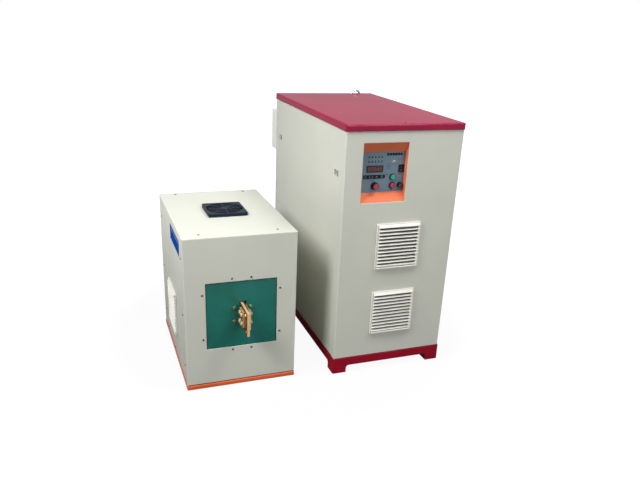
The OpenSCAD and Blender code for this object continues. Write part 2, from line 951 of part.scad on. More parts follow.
// Bat lever of the toggle switch, tilted up
module toggle_lever() {
    color(steel_tone) cabinet() on_panel(toggle_share) rotate([-toggle_tilt, 0, 0]) {
        sphere(r = toggle_ball_r);
        cylinder(r1 = toggle_root_r, r2 = toggle_tip_r, h = toggle_l - toggle_tip_r);
        translate([0, 0, toggle_l - toggle_tip_r]) sphere(r = toggle_tip_r);
    }
}

// Dark red lens over the digits
module display_window() {
    color(near_black) cabinet() on_panel(display_share) translate([-display_w / 2, -display_h / 2, 0])
        linear_extrude(display_t) round_rect(display_w, display_h, display_t);
}

// One small lamp with a domed lens
module led(r) {
    translate([0, 0, -led_in]) cylinder(r = r, h = led_in + led_out);
    translate([0, 0, led_out]) intersection() {
        sphere(r = r);
        cylinder(r = r, h = r);
    }
}
module indicator_leds() {
    color(red_plastic) cabinet() {
        at_leds() led(led_r);
        at_dots() led(dot_r);
    }
}

// Membrane key strip with one round end
module membrane_keypad() {
    color(near_black) cabinet() on_panel(keypad_share) translate([-keypad_w / 2, -keypad_h / 2, 0])
        linear_extrude(keypad_t) {
            square([keypad_w - keypad_h / 2, keypad_h]);
            translate([keypad_w - keypad_h / 2, keypad_h / 2]) circle(keypad_h / 2);
        }
}

// Round control socket: flange, threaded collar and insulator
module control_socket() {
    neck_r = socket_r - socket_flange;
    color(steel_tone) cabinet() on_panel(socket_share) difference() {
        union() {
            cylinder(r = socket_r + socket_flange, h = socket_flange_t);
            cylinder(r = socket_r, h = socket_out);
            translate([0, 0, -socket_in]) cylinder(r = neck_r, h = socket_in);
        }
        translate([0, 0, socket_out - socket_face]) cylinder(r = socket_r - socket_wall, h = socket_face + cut);
    }
}

// Circuit board behind the controls on four spacers, with the digit block and the knob's potentiometer
module control_board() {
    board_x = bay_x + bay_lip + board_rim;
    board_z = panel_z + panel_h - bay_lip - board_rim - board_h;
    digits_w = display_w - 2 * (display_rim + fit);
    digits_h = display_h - 2 * (display_rim + fit);
    color(board_green) cabinet() {
        translate([board_x, panel_y + panel_t + board_in, board_z]) cube([board_w, board_t, board_h]);
        for (share = spacer_shares) on_panel(share) translate([0, 0, -panel_t - board_in])
            cylinder(r = spacer_r, h = board_in);
        on_panel(display_share) translate([-digits_w / 2, -digits_h / 2, -panel_t - board_in])
            cube([digits_w, digits_h, board_in]);
        translate([board_x + display_w, panel_y + panel_t + board_in + board_t, board_z + board_rim])
            cube([board_w / 3, driver_t, board_h / 3]);
        on_panel(knob_share) translate([0, 0, -panel_t - pot_t]) difference() {
            cylinder(r = pot_r, h = pot_t);
            translate([0, 0, pot_t + panel_t - shaft_in - run_fit])
                cylinder(r = shaft_r + run_fit, h = shaft_in + cut);
        }
    }
}

// Louvre covers

// Sloping blade, drawn as a section: x is outwards and y is up from the blade's lip
module blade_section(rise) {
    polygon([[cover_out, 0], [cover_out, blade_t], [blade_back, rise], [blade_back, rise - 2 * blade_t]]);
}

// Square cover whose blades stand proud of its frame, centred on its middle with its seat at z = 0
module louvre_cover() {
    blade_l = cover - 2 * blade_end;
    pitch = (cover - cover_head - cover_foot) / slots;
    rise = pitch * blade_rise_share;
    difference() {
        translate([-cover / 2, -cover / 2, 0]) linear_extrude(cover_base) round_rect(cover, cover, cover_r);
        translate([-cover / 2 + cover_band, -cover / 2 + cover_band, -cut])
            cube([cover - 2 * cover_band, cover - 2 * cover_band, cover_base + 2 * cut]);
    }
    for (i = [0 : slots - 1]) {
        translate([-blade_l / 2, cover / 2 - cover_head - (i + 1) * pitch, 0])
            rotate([90, 0, 90]) mirror([1, -1, 0]) linear_extrude(blade_l) blade_section(rise);
    }
    // Hood over the first slot, and the sill below the last
    hood = cover_head - blade_end / 2;
    sill = cover_foot - blade_end / 2;
    translate([-blade_l / 2, cover / 2 - cover_head, 0]) rotate([90, 0, 90]) mirror([1, -1, 0])
        linear_extrude(blade_l) polygon([[cover_out, 0], [cover_out, blade_t], [cover_base, hood],
            [blade_back, hood], [blade_back, 0]]);
    translate([-blade_l / 2, -cover / 2 + blade_end / 2, 0]) rotate([90, 0, 90]) mirror([1, -1, 0])
        linear_extrude(blade_l) polygon([[blade_back, 0], [cover_base, 0], [cover_out, blade_t],
            [cover_out, 2 * blade_t], [cover_base, sill], [blade_back, sill]]);
}
module louvre_covers() {
    color(ivory) {
        cabinet() for (z = [cover_z, cover_z + cover_pitch]) on_front(cab_w / 2, body_front, z) louvre_cover();
        head() on_left(head_inset, side_cover_y, side_cover_z) louvre_cover();
    }
}

// Grey filter mats behind the louvre covers
module filter_mat() {
    side = cover - 2 * cover_band - 2 * fit;
    translate([-side / 2, -side / 2, 0]) cube([side, side, mat_t]);
}
module filter_mats() {
    color([0.55, 0.56, 0.58]) {
        cabinet() for (z = [cover_z, cover_z + cover_pitch]) on_front(cab_w / 2, body_front, z) filter_mat();
        head() on_left(head_inset, side_cover_y, side_cover_z) filter_mat();
    }
}

// Fans

// Fan frame: two square flanges on a tube, with a motor cup held by four struts; its seat is at z = 0
module fan_frame() {
    hole = fan * fan_hole_share;
    difference() {
        union() {
            for (z = [0, fan_t - fan_rim_t]) translate([-fan / 2, -fan / 2, z])
                linear_extrude(fan_rim_t) round_rect(fan, fan, fan_r);
            cylinder(r = fan_bore_r + fan_tube_t, h = fan_t);
            for (x = [-hole, hole], y = [-hole, hole]) translate([x, y, 0]) cylinder(r = fan_boss_r, h = fan_t);
        }
        translate([0, 0, -cut]) cylinder(r = fan_bore_r, h = fan_t + 2 * cut);
        for (x = [-hole, hole], y = [-hole, hole]) translate([x, y, -cut])
            cylinder(r = fan_hole_r, h = fan_t + 2 * cut);
    }
    difference() {
        union() {
            translate([0, 0, fan_t - motor_t]) cylinder(r = motor_r, h = motor_t);
            for (i = [0 : 3]) rotate(45 + i * 90)
                translate([motor_r - strut_w / 2, -strut_w / 2, fan_t - fan_rim_t])
                    cube([fan_bore_r - motor_r + strut_w / 2 + fan_tube_t / 2, strut_w, fan_rim_t]);
        }
        translate([0, 0, fan_t - motor_t - cut]) cylinder(r = axle_r + run_fit, h = axle_l + cut);
    }
}

// Rotor: a hub with cambered blades, on a short axle that turns in the motor cup
module fan_rotor() {
    tip_r = fan_bore_r - rotor_gap;
    hub_z = fan_t - motor_t - fit - hub_t;
    translate([0, 0, hub_z]) cylinder(r = hub_r, h = hub_t);
    translate([0, 0, hub_z + hub_t - cut]) cylinder(r = axle_r, h = cut + axle_l);
    intersection() {
        translate([0, 0, hub_z]) cylinder(r = tip_r, h = hub_t);
        for (i = [0 : blades - 1]) rotate(i * 360 / blades)
            translate([hub_r - blade_sheet, 0, hub_z + hub_t / 2]) rotate([blade_pitch, 0, 0])
                rotate([90, 0, 90]) linear_extrude(tip_r - hub_r + 2 * blade_sheet) blade_arc();
    }
}

// Cross-section of a cambered blade, its crown at the origin
module blade_arc() {
    translate([0, -blade_arc_r]) intersection() {
        difference() {
            circle(blade_arc_r);
            circle(blade_arc_r - blade_sheet);
        }
        translate([-blade_w / 2, 0]) square([blade_w, blade_arc_r + cut]);
    }
}

// Where each fan sits, with z pointing into its unit
module at_cabinet_fan(z) {
    cabinet() translate([cab_w / 2, body_front + sheet, z]) rotate([-90, 0, 0]) children();
}
module at_head_fan() {
    head() translate([head_w / 2 + fan_shift, fan_back_y, top_z]) rotate([180, 0, 0]) children();
}
module fan_frames() {
    color(near_black) {
        for (z = [cover_z, cover_z + cover_pitch]) at_cabinet_fan(z) fan_frame();
        at_head_fan() fan_frame();
    }
}
module upper_fan_rotor() { color(near_black) at_cabinet_fan(cover_z + cover_pitch) fan_rotor(); }
module lower_fan_rotor() { color(near_black) at_cabinet_fan(cover_z) fan_rotor(); }
module head_fan_rotor() { color(near_black) at_head_fan() fan_rotor(); }

// Side latches

// Cup that is let into the side panel; x points to the post that the tongue catches
module latch_cup() {
    body_l = latch_w - 2 * latch_wall;
    body_h = latch_h - 2 * latch_wall;
    difference() {
        union() {
            translate([-latch_w / 2, -latch_h / 2, 0]) linear_extrude(latch_proud)
                round_rect(latch_w, latch_h, latch_edge_r);
            translate([-body_l / 2, -body_h / 2, -latch_depth - latch_wall])
                cube([body_l, body_h, latch_depth + latch_wall]);
        }
        translate([-body_l / 2 + latch_wall, -body_h / 2 + latch_wall, -latch_depth])
            cube([body_l - 2 * latch_wall, body_h - 2 * latch_wall, latch_depth + latch_proud + cut]);
        translate([0, -tongue_w / 2 - fit, -latch_depth])
            cube([body_l, tongue_w + 2 * fit, tongue_t + 2 * fit]);
    }
}

// Sliding bolt with its finger ridge and the tongue that catches behind the frame's post
module latch_slider() {
    reach = latch_y - post_y - post_w + tongue_grip;
    block_h = latch_h - 4 * latch_wall - 2 * fit;
    translate([0, 0, -latch_depth + fit]) {
        translate([-slider_back, -block_h / 2, 0]) cube([slider_l, block_h, tongue_t]);
        translate([0, -tongue_w / 2, 0]) cube([reach, tongue_w, tongue_t]);
        translate([slider_back - finger_w, -block_h / 2, 0])
            cube([finger_w, block_h, latch_depth - fit - finger_gap]);
    }
}

// Where the left-hand latches sit, x towards the nearer end of the cabinet
module at_latch(end) {
    cabinet() translate([0, end * cab_d, 0]) mirror([0, end, 0])
        on_left(body_side, latch_y, latch_z) children();
}
module at_right_latch(end) {
    cabinet() other_side() translate([0, end * cab_d, 0]) mirror([0, end, 0])
        on_left(body_side, latch_y, latch_z) children();
}
module latch_cups() {
    color(ivory) for (end = [0, 1]) {
        at_latch(end) latch_cup();
        at_right_latch(end) latch_cup();
    }
}
module left_front_latch() { color(near_black) at_latch(0) latch_slider(); }
module left_rear_latch() { color(near_black) at_latch(1) latch_slider(); }
module right_front_latch() { color(near_black) at_right_latch(0) latch_slider(); }
module right_rear_latch() { color(near_black) at_right_latch(1) latch_slider(); }

// Rear fittings

// Hood over the output terminals, with two gland holes in its underside
module terminal_box() {
    color(cream) cabinet() difference() {
        translate([box_x, body_back + box_out, box_z]) rotate([90, 0, 0])
            tray(box_w, box_h, box_out, sheet, bend_r, bend_r + sheet);
        for (share = box_gland_share)
            translate([box_x + share * box_w, body_back + box_out / 2, box_z - cut])
                cylinder(r = gland_r + fit, h = sheet + 2 * cut);
    }
}

// Cable gland: a hexagon, a domed nut and a bore for the cable; z points away from the sheet
module cable_gland() {
    difference() {
        union() {
            cylinder(r = gland_hex_r, h = gland_hex_t, $fn = 6);
            translate([0, 0, gland_hex_t]) bevelled(gland_hex_r - cut, gland_nut_t, gland_hex_t / 2);
            translate([0, 0, -gland_tail]) cylinder(r = gland_r, h = gland_tail);
        }
        translate([0, 0, -gland_tail - cut])
            cylinder(r = gland_bore_r, h = gland_tail + gland_hex_t + gland_nut_t + 2 * cut);
    }
}
module cable_glands() {
    color(near_black) {
        cabinet() {
            for (share = box_gland_share)
                translate([box_x + share * box_w, body_back + box_out / 2, box_z])
                    rotate([180, 0, 0]) cable_gland();
            on_back(mains_x, body_back, rear_port_z) cable_gland();
        }
        head() on_back(head_gland_x, head_d - head_inset, head_port_z) cable_gland();
    }
}

// Water nipple with a hexagon on the panel and a manifold block behind it
module water_nipple() {
    difference() {
        union() {
            cylinder(r = nipple_r, h = nipple_out);
            cylinder(r = nipple_hex_r, h = nipple_hex_t, $fn = 6);
            translate([0, 0, -sheet - manifold_d]) cylinder(r = nipple_r, h = sheet + manifold_d);
            translate([-manifold_h / 2, -manifold_h / 2, -sheet - manifold_d])
                cube([manifold_h, manifold_h, manifold_d]);
        }
        translate([0, 0, -manifold_d]) cylinder(r = nipple_bore_r, h = manifold_d + nipple_out + cut);
    }
}
module water_fittings() {
    color(brass_tone) for (i = [0, 1]) {
        cabinet() on_back(water_x + i * water_pitch, body_back, rear_port_z) water_nipple();
        head() on_back(head_water_x + i * water_pitch, head_d - head_inset, head_port_z) water_nipple();
    }
}

// Lifting eye on an angle bracket at the top of the rear panel
module lifting_eye() {
    ring_z = eye_top - eye_r - eye_rod_r;
    shelf_z = ring_z - eye_r - eye_base_t;
    color(steel_tone) cabinet() {
        translate([eye_x, body_back + eye_out, ring_z]) rotate([90, 0, 0]) rotate_extrude()
            translate([eye_r, 0]) circle(eye_rod_r);
        translate([eye_x, body_back + eye_out, shelf_z]) cylinder(r = eye_base_r, h = eye_base_t);
        translate([eye_x - eye_plate_w / 2, body_back, shelf_z - eye_plate_t])
            cube([eye_plate_w, eye_shelf_d, eye_plate_t]);
        translate([eye_x - eye_plate_w / 2, body_back, shelf_z - eye_plate_h])
            cube([eye_plate_w, eye_plate_t, eye_plate_h]);
    }
}

// Inside the cabinet

// Upright plate that carries the power electronics on its two faces
module mounting_plate() {
    floor_z = plinth_h + sheet;
    plate_top = frame_top - rail_w;
    color(zinc) cabinet() translate([plate_x, plate_y, floor_z]) {
        cube([plate_sheet, plate_l, plate_top - floor_z]);
        cube([plate_foot, plate_l, plate_sheet]);
    }
}

// Water-cooled plate behind the power modules, with its two hose stubs
module heat_sink() {
    color(steel_tone) cabinet() {
        translate([plate_x - sink_t, sink_y, sink_z]) cube([sink_t, sink_l, sink_h]);
        for (share = [0.2, 0.8])
            translate([plate_x - sink_t / 2, sink_y + sink_l - cut, sink_z + share * sink_h])
                rotate([-90, 0, 0]) cylinder(r = sink_port_r, h = sink_port_l + cut);
    }
}

// Transistor and rectifier modules in a row on the heat sink
module power_modules() {
    color(near_black) cabinet() for (i = [0 : modules - 1])
        on_left(plate_x - sink_t, first_module + i * module_pitch, sink_z + sink_h / 2) {
            translate([-module_w / 2, -module_h / 2, 0]) cube([module_w, module_h, module_t - module_step]);
            translate([-module_w / 2 + module_step, -module_h / 2 + module_step, 0])
                cube([module_w - 2 * module_step, module_h - 2 * module_step, module_t]);
            for (share = [-0.3, 0, 0.3]) translate([0, share * module_h, module_t])
                cylinder(r = module_lug_r, h = module_lug_t);
        }
}

// Direct-current link: electrolytic cans in two rows on the floor pan
module filter_capacitors() {
    color([0.25, 0.28, 0.33]) cabinet() for (side = [0, 1], i = [0 : can_rows - 1])
        translate([can_x - side * can_pitch, can_y + i * can_pitch, plinth_h + sheet]) {
            bevelled(can_r, can_h - can_rim, can_rim);
            cylinder(r = can_r - 2 * can_rim, h = can_h);
            for (x = [-can_lug_x, can_lug_x]) translate([x, 0, can_h]) cylinder(r = can_lug_r, h = can_lug_t);
        }
}

// Copper bars on the capacitor studs, with risers to the power modules
module busbars() {
    bar_l = (can_rows - 1) * can_pitch + 2 * can_lug_x;
    bar_z = plinth_h + sheet + can_h + can_lug_t;
    module_face = plate_x - sink_t - module_t - module_lug_t;
    module_low = sink_z + sink_h / 2 - 0.3 * module_h + module_lug_r;
    color(copper) cabinet() {
        for (side = [0, 1], x = [-can_lug_x, can_lug_x])
            translate([can_x - side * can_pitch + x - bar_w / 2, can_y - can_lug_x, bar_z])
                cube([bar_w, bar_l, bar_t]);
        translate([module_face - bar_t, first_module - riser_w / 2, bar_z])
            cube([bar_t, riser_w, module_low - bar_z]);
    }
}

// Smoothing choke: a laminated core with a coil on its middle leg
module choke() {
    window_h2 = choke_h - 2 * choke_leg;
    window_w2 = (choke_w - 3 * choke_leg) / 2;
    color(brown) cabinet() translate([choke_x, choke_y, plinth_h + sheet]) {
        difference() {
            cube([choke_w, choke_d, choke_h]);
            for (x = [choke_leg, 2 * choke_leg + window_w2])
                translate([x, -cut, choke_leg]) cube([window_w2, choke_d + 2 * cut, window_h2]);
        }
        translate([choke_w / 2 - choke_leg / 2 - coil_t, -coil_t, choke_leg + fit]) difference() {
            linear_extrude(window_h2 - 2 * fit)
                round_rect(choke_leg + 2 * coil_t, choke_d + 2 * coil_t, coil_r);
            translate([coil_t - fit, coil_t - fit, -cut])
                cube([choke_leg + 2 * fit, choke_d + 2 * fit, window_h2 + 2 * cut]);
        }
    }
}

// Moulded-case breaker on the mounting plate, with a slot for its lever
module circuit_breaker() {
    face_z = breaker_h * breaker_face_share;
    slot_d = 2 * lever_barrel_r + fit;
    color([0.20, 0.21, 0.23]) cabinet()
        on_right(plate_x + plate_sheet, breaker_y, breaker_z) difference() {
            union() {
                cube([breaker_w, breaker_h, breaker_d - breaker_step]);
                translate([0, breaker_h / 2 - face_z / 2, 0]) cube([breaker_w, face_z, breaker_d]);
            }
            translate([breaker_w / 2 - lever_slot / 2, breaker_h / 2 - face_z / 3, breaker_d - slot_d])
                cube([lever_slot, face_z * 2 / 3, slot_d + cut]);
            translate([breaker_w / 2 - lever_slot, breaker_h / 2, breaker_d - lever_barrel_r])
                rotate([0, 90, 0]) cylinder(r = axle_r + run_fit, h = 2 * lever_slot);
        }
}

// Lever of the breaker on its axle, thrown up
module breaker_lever() {
    color(ivory) cabinet() on_right(plate_x + plate_sheet, breaker_y, breaker_z)
        translate([breaker_w / 2, breaker_h / 2, breaker_d - lever_barrel_r]) rotate([-rocker_tilt * 2, 0, 0]) {
            translate([-lever_w / 2, 0, 0]) rotate([0, 90, 0]) cylinder(r = lever_barrel_r - fit, h = lever_w);
            translate([-lever_slot + cut, 0, 0]) rotate([0, 90, 0])
                cylinder(r = axle_r, h = 2 * (lever_slot - cut));
            translate([-lever_w / 2, -lever_t / 2, 0]) cube([lever_w, lever_t, lever_barrel_r + lever_out]);
        }
}

// Heating head

// Orange base: a folded tray with round edges, open in the middle
module head_base() {
    color(orange) head() {
        difference() {
            intersection() {
                translate([0, head_d, 0]) rotate([90, 0, 0])
                    linear_extrude(head_d) round_rect(head_w, base_h, base_r);
                rotate([90, 0, 90]) linear_extrude(head_w) round_rect(head_d, base_h, base_r);
                linear_extrude(base_h) round_rect(head_w, head_d, base_r);
            }
            translate([base_r, base_r, sheet])
                cube([head_w - 2 * base_r, head_d - 2 * base_r, base_h - 2 * sheet]);
            translate([base_flange, base_flange, sheet])
                cube([head_w - 2 * base_flange, head_d - 2 * base_flange, base_h]);
        }
        transformer_stand();
    }
}

// Stand on the base's floor that holds the transformer level with the window
module transformer_stand() {
    stand_x = head_w / 2 - core_w / 2;
    stand_top = window_z - core_h / 2;
    translate([stand_x, core_front(), sheet]) {
        translate([0, 0, stand_top - stand_t - sheet]) cube([core_w, core_d, stand_t]);
        for (x = [0, core_w - stand_leg]) translate([x, 0, 0]) {
            cube([stand_leg, stand_t, stand_top - sheet]);
            translate([0, core_d - stand_t, 0]) cube([stand_leg, stand_t, stand_top - sheet]);
        }
    }
}

// Front of the transformer, behind the plates' wings
function core_front() = head_inset + sheet + plate_in + plate_t + core_gap;

// Front panel of the head with its window and the window's screw holes
module head_front_panel() {
    color(cream) head() difference() {
        translate([head_inset, head_inset, base_h]) folded_panel(head_body_w, head_fold, head_shell_h);
        translate([window_x, 0, window_z - window_h / 2]) cube([window_w, head_inset + sheet + cut, window_h]);
    }
}

// Rear panel of the head with its ports
module head_rear_panel() {
    back = head_d - head_inset;
    color(cream) head() difference() {
        translate([0, head_d, 0]) mirror([0, 1, 0]) translate([head_inset, head_inset, base_h])
            folded_panel(head_body_w, head_fold, head_shell_h);
        on_back(head_gland_x, back - sheet - cut, head_port_z) cylinder(r = gland_r + fit, h = sheet + 2 * cut);
        for (i = [0, 1]) on_back(head_water_x + i * water_pitch, back - sheet - cut, head_port_z)
            cylinder(r = nipple_r + fit, h = sheet + 2 * cut);
        for (i = [0 : vent_rows - 1], side = [-1, 1])
            translate([head_w / 2 + side * (vent_w + vent_gap) / 2 - vent_w / 2, back - sheet - cut,
                vent_z + i * vent_pitch]) rear_slot();
    }
}

// Plain side sheet between the folds of the head's front and rear panels
module head_side() {
    y0 = head_inset + head_fold + seam;
    translate([head_inset, y0, base_h]) cube([sheet, head_d - 2 * y0, head_shell_h]);
}
module head_left_panel() {
    color(cream) head() difference() {
        head_side();
        on_left(head_inset + sheet + cut, side_cover_y, side_cover_z) cylinder(r = duct_r, h = sheet + 2 * cut);
    }
}
module head_right_panel() {
    color(cream) head() translate([head_w, 0, 0]) mirror([1, 0, 0]) head_side();
}

// Flat top cover with the fan opening
module head_top_cover() {
    color(cream) head() difference() {
        translate([head_inset, head_inset, top_z]) linear_extrude(sheet)
            round_rect(head_body_w, head_body_d, bend_r);
        translate([head_w / 2 + fan_shift, fan_back_y, top_z - cut]) cylinder(r = duct_r, h = sheet + 2 * cut);
    }
}

// Middle of the output plates across the head, and the faces of its pieces
plates_x = head_w / 2 + plates_shift;
flange_x = head_w / 2 + flange_shift;
left_face = plates_x - gap_t / 2 - plate_t;
right_face = plates_x + gap_t / 2 + plate_t;
board_y = head_inset + sheet;

// Green laminate board behind the window, slotted for the output plates
module insulating_board() {
    board_w2 = window_w + 2 * board_lap;
    board_h2 = window_h + 2 * board_lap;
    slot_h = plate_h + 2 * sheet_lap;
    color(board_green) head() difference() {
        translate([window_x - board_lap, board_y, window_z - board_h2 / 2])
            cube([board_w2, board_thick, board_h2]);
        translate([left_face - slot_fit, board_y - cut, window_z - slot_h / 2 - slot_fit])
            cube([right_face - left_face + 2 * slot_fit, board_thick + 2 * cut, slot_h + 2 * slot_fit]);
    }
}

// The four clamp bolts' places, y outwards from the head's front and z up
module at_clamp_bolts(x) {
    for (i = [0, 1], z = [-0.5, 0.5])
        translate([x, head_inset - clamp_bolt_y - i * clamp_bolt_pitch, window_z + z * clamp_bolt_z])
            rotate([0, 90, 0]) children();
}

// Copper plates that carry the current out to the coil, with wings behind the board and a clamp bar
module output_plates() {
    hole_r = bolt_r + bolt_gap;
    color(copper) head() difference() {
        union() {
            translate([left_face, head_inset - plate_out, window_z - plate_h / 2])
                cube([plate_t, plate_out + sheet + plate_in, plate_h]);
            translate([left_face - wing_w, board_y + plate_in, window_z - plate_h / 2])
                cube([wing_w + plate_t, plate_t, plate_h]);
            translate([right_face - plate_t, head_inset - short_out, window_z - short_h / 2])
                cube([plate_t, short_out + sheet + plate_in, short_h]);
            translate([right_face - plate_t, board_y + plate_in, window_z - plate_h / 2])
                cube([wing_w + plate_t, plate_t, plate_h]);
            translate([left_face - clamp_t, head_inset - clamp_in - clamp_l, window_z - clamp_h / 2])
                cube([clamp_t - run_fit, clamp_l, clamp_h]);
        }
        at_clamp_bolts(left_face - clamp_t - cut)
            cylinder(r = hole_r, h = right_face - left_face + clamp_t + 2 * cut);
        for (z = [-lug_drop, lug_drop])
            translate([left_face - cut, head_inset - plate_out + lug_edge, window_z + z]) rotate([0, 90, 0])
                cylinder(r = lug_hole_r, h = plate_t + 2 * cut);
    }
}

// Dark laminate sheet that keeps the two plates apart
module plate_insulator() {
    sheet_out = short_out + sheet_lap / 2;
    color(brown) head() difference() {
        translate([plates_x - gap_t / 2, head_inset - sheet_out, window_z - plate_h / 2 - sheet_lap])
            cube([gap_t, sheet_out + sheet + plate_in, plate_h + 2 * sheet_lap]);
        at_clamp_bolts(left_face) cylinder(r = bolt_r + bolt_gap, h = right_face - left_face);
    }
}

// Brass fastenings: clamp bolts, the board's screws, one coil screw and the earth stud
module terminal_bolts() {
    bolt_x = left_face - clamp_t;
    bolt_l = right_face - bolt_x + bolt_nut_t + bolt_tail;
    color(brass_tone) {
        head() {
            at_clamp_bolts(bolt_x) {
                mirror([0, 0, 1]) difference() {
                    bevelled(bolt_head_r, bolt_head_t, bolt_edge);
                    translate([0, 0, bolt_head_t - bolt_socket_d])
                        cylinder(r = bolt_socket_r, h = bolt_socket_d + cut, $fn = 6);
                }
                cylinder(r = bolt_r, h = bolt_l);
                translate([0, 0, right_face - bolt_x]) cylinder(r = bolt_head_r, h = bolt_nut_t, $fn = 6);
            }
            for (x = [-0.5, 0.5], z = [-0.5, 0.5])
                on_front(flange_x + x * flange_screw_x, board_y, window_z + z * flange_screw_z)
                    bevelled(flange_screw_r, flange_screw_t, screw_edge);
            translate([left_face, head_inset - plate_out + lug_edge, window_z + lug_drop]) rotate([0, -90, 0]) {
                bevelled(lug_screw_r, lug_screw_t, screw_edge);
                translate([0, 0, -plate_t]) cylinder(r = lug_hole_r - bolt_gap, h = plate_t);
            }
        }
        cabinet() on_back(earth_x, body_back, rear_port_z) {
            cylinder(r = earth_r, h = earth_out);
            cylinder(r = earth_nut_r, h = earth_nut_t, $fn = 6);
        }
    }
}

// Steel pan-head screws of both casings
module casing_screws() {
    win_x = window_x + window_w / 2;
    side_out = window_w / 2 + window_screw_gap;
    top_out = window_h / 2 + window_screw_gap;
    color(steel_tone) {
        head() {
            for (side = [-1, 1], half = [-0.5, 0.5]) {
                on_front(win_x + side * side_out, head_inset, window_z + half * window_screw_span) pan_head();
                on_front(win_x + half * window_screw_row, head_inset, window_z + side * top_out) pan_head();
            }
            for (x = [top_screw_in, head_w - top_screw_in], y = [top_screw_front, head_d - top_screw_rear])
                translate([x, y, head_h]) pan_head();
            for (side = [0, 1]) translate([side * head_w, 0, 0]) mirror([side, 0, 0]) head_side_screws();
        }
        cabinet() {
            for (y = [lid_h, cab_d - lid_h]) translate([cab_w / 2, y, cab_h]) pan_head();
            for (side = [0, 1], end = [0, 1])
                on_back(box_x + box_w / 2 + (side - 0.5) * (box_w - 2 * box_hole), body_back + box_out,
                    box_z + box_h / 2 + (end - 0.5) * (box_h - 2 * box_hole)) pan_head();
        }
    }
}

// Screws of one head side: a column near each end and a row along the base
module head_side_screws() {
    for (share = [0.12, 0.48, 0.86], y = [head_screw_y, head_d - head_screw_y])
        on_left(head_inset, y, base_h + share * head_shell_h) pan_head();
    for (share = [0.5, 0.82]) on_left(head_inset, share * head_d, base_h + head_screw_low) pan_head();
}

// Fan guard: a square frame with rings and spokes over the fan
module head_fan_guard() {
    color(near_black) head() translate([head_w / 2 + fan_shift, fan_back_y, head_h]) {
        difference() {
            translate([-guard / 2, -guard / 2, 0]) linear_extrude(guard_h) round_rect(guard, guard, guard_r);
            translate([0, 0, -cut]) cylinder(r = guard / 2 - guard_rim, h = guard_h + 2 * cut);
        }
        for (i = [1 : guard_rings]) {
            ring_r = guard_hub_r + i * (guard / 2 - guard_rim - guard_hub_r) / (guard_rings + 1);
            translate([0, 0, guard_h - guard_base]) difference() {
                cylinder(r = ring_r, h = guard_base);
                translate([0, 0, -cut]) cylinder(r = ring_r - guard_ring_w, h = guard_base + 2 * cut);
            }
        }
        translate([0, 0, guard_h - guard_base]) cylinder(r = guard_hub_r, h = guard_base);
        for (i = [0 : guard_spokes - 1]) rotate(i * 360 / guard_spokes)
            translate([guard_hub_r - cut, -guard_spoke_w / 2, guard_h - 2 * guard_base])
                cube([guard / 2 - guard_rim - guard_hub_r + 2 * cut, guard_spoke_w, 2 * guard_base]);
    }
}

// Output transformer: a core with two windows and the winding that passes through them
module transformer_core() {
    core_x = head_w / 2 - core_w / 2;
    win_w = (core_w - 3 * core_leg) / 2;
    win_h = core_h - 2 * core_leg;
    color([0.22, 0.22, 0.24]) head() translate([core_x, core_front(), window_z - core_h / 2]) {
        difference() {
            cube([core_w, core_d, core_h]);
            for (x = [core_leg, 2 * core_leg + win_w]) translate([x, -cut, core_leg])
                cube([win_w, core_d + 2 * cut, win_h]);
        }
        translate([core_w / 2 - core_leg / 2 - winding_t, 0, core_leg + fit]) difference() {
            linear_extrude(win_h - 2 * fit) round_rect(core_leg + 2 * winding_t, core_d + winding_t, winding_r);
            translate([winding_t - fit, -cut, -cut])
                cube([core_leg + 2 * fit, core_d + cut + fit, win_h + 2 * cut]);
        }
    }
}

// Row of resonant capacitors on the base
module resonant_capacitors() {
    color(ivory) head() for (i = [0 : tanks - 1]) translate([tank_x + i * tank_pitch, tank_y, sheet]) {
        linear_extrude(tank_h) round_rect(tank_w, tank_d, tank_r);
        for (share = [0.28, 0.72]) translate([tank_w / 2, share * tank_d, tank_h])
            cylinder(r = tank_lug_r, h = tank_lug_t);
    }
}

plinth();
floor_pan();
inner_frames();
front_panel();
rear_panel();
left_side_panel();
right_side_panel();
lid();
control_bay();
control_panel();
power_knob();
knob_cap();
start_button();
stop_button();
switch_bezels();
rocker();
toggle_bush();
toggle_lever();
display_window();
indicator_leds();
membrane_keypad();
control_socket();
control_board();
louvre_covers();
filter_mats();
fan_frames();
upper_fan_rotor();
lower_fan_rotor();
latch_cups();
left_front_latch();
left_rear_latch();
right_front_latch();
right_rear_latch();
terminal_box();
cable_glands();
water_fittings();
lifting_eye();
mounting_plate();
circuit_breaker();
breaker_lever();
heat_sink();
power_modules();
filter_capacitors();
busbars();
choke();
head_base();
head_front_panel();
head_left_panel();
head_right_panel();
head_rear_panel();
head_top_cover();
insulating_board();
plate_insulator();
output_plates();
terminal_bolts();
casing_screws();
head_fan_guard();
head_fan_rotor();
transformer_core();
resonant_capacitors();
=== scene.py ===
import math

import bpy
import bmesh
from mathutils import Matrix, Vector


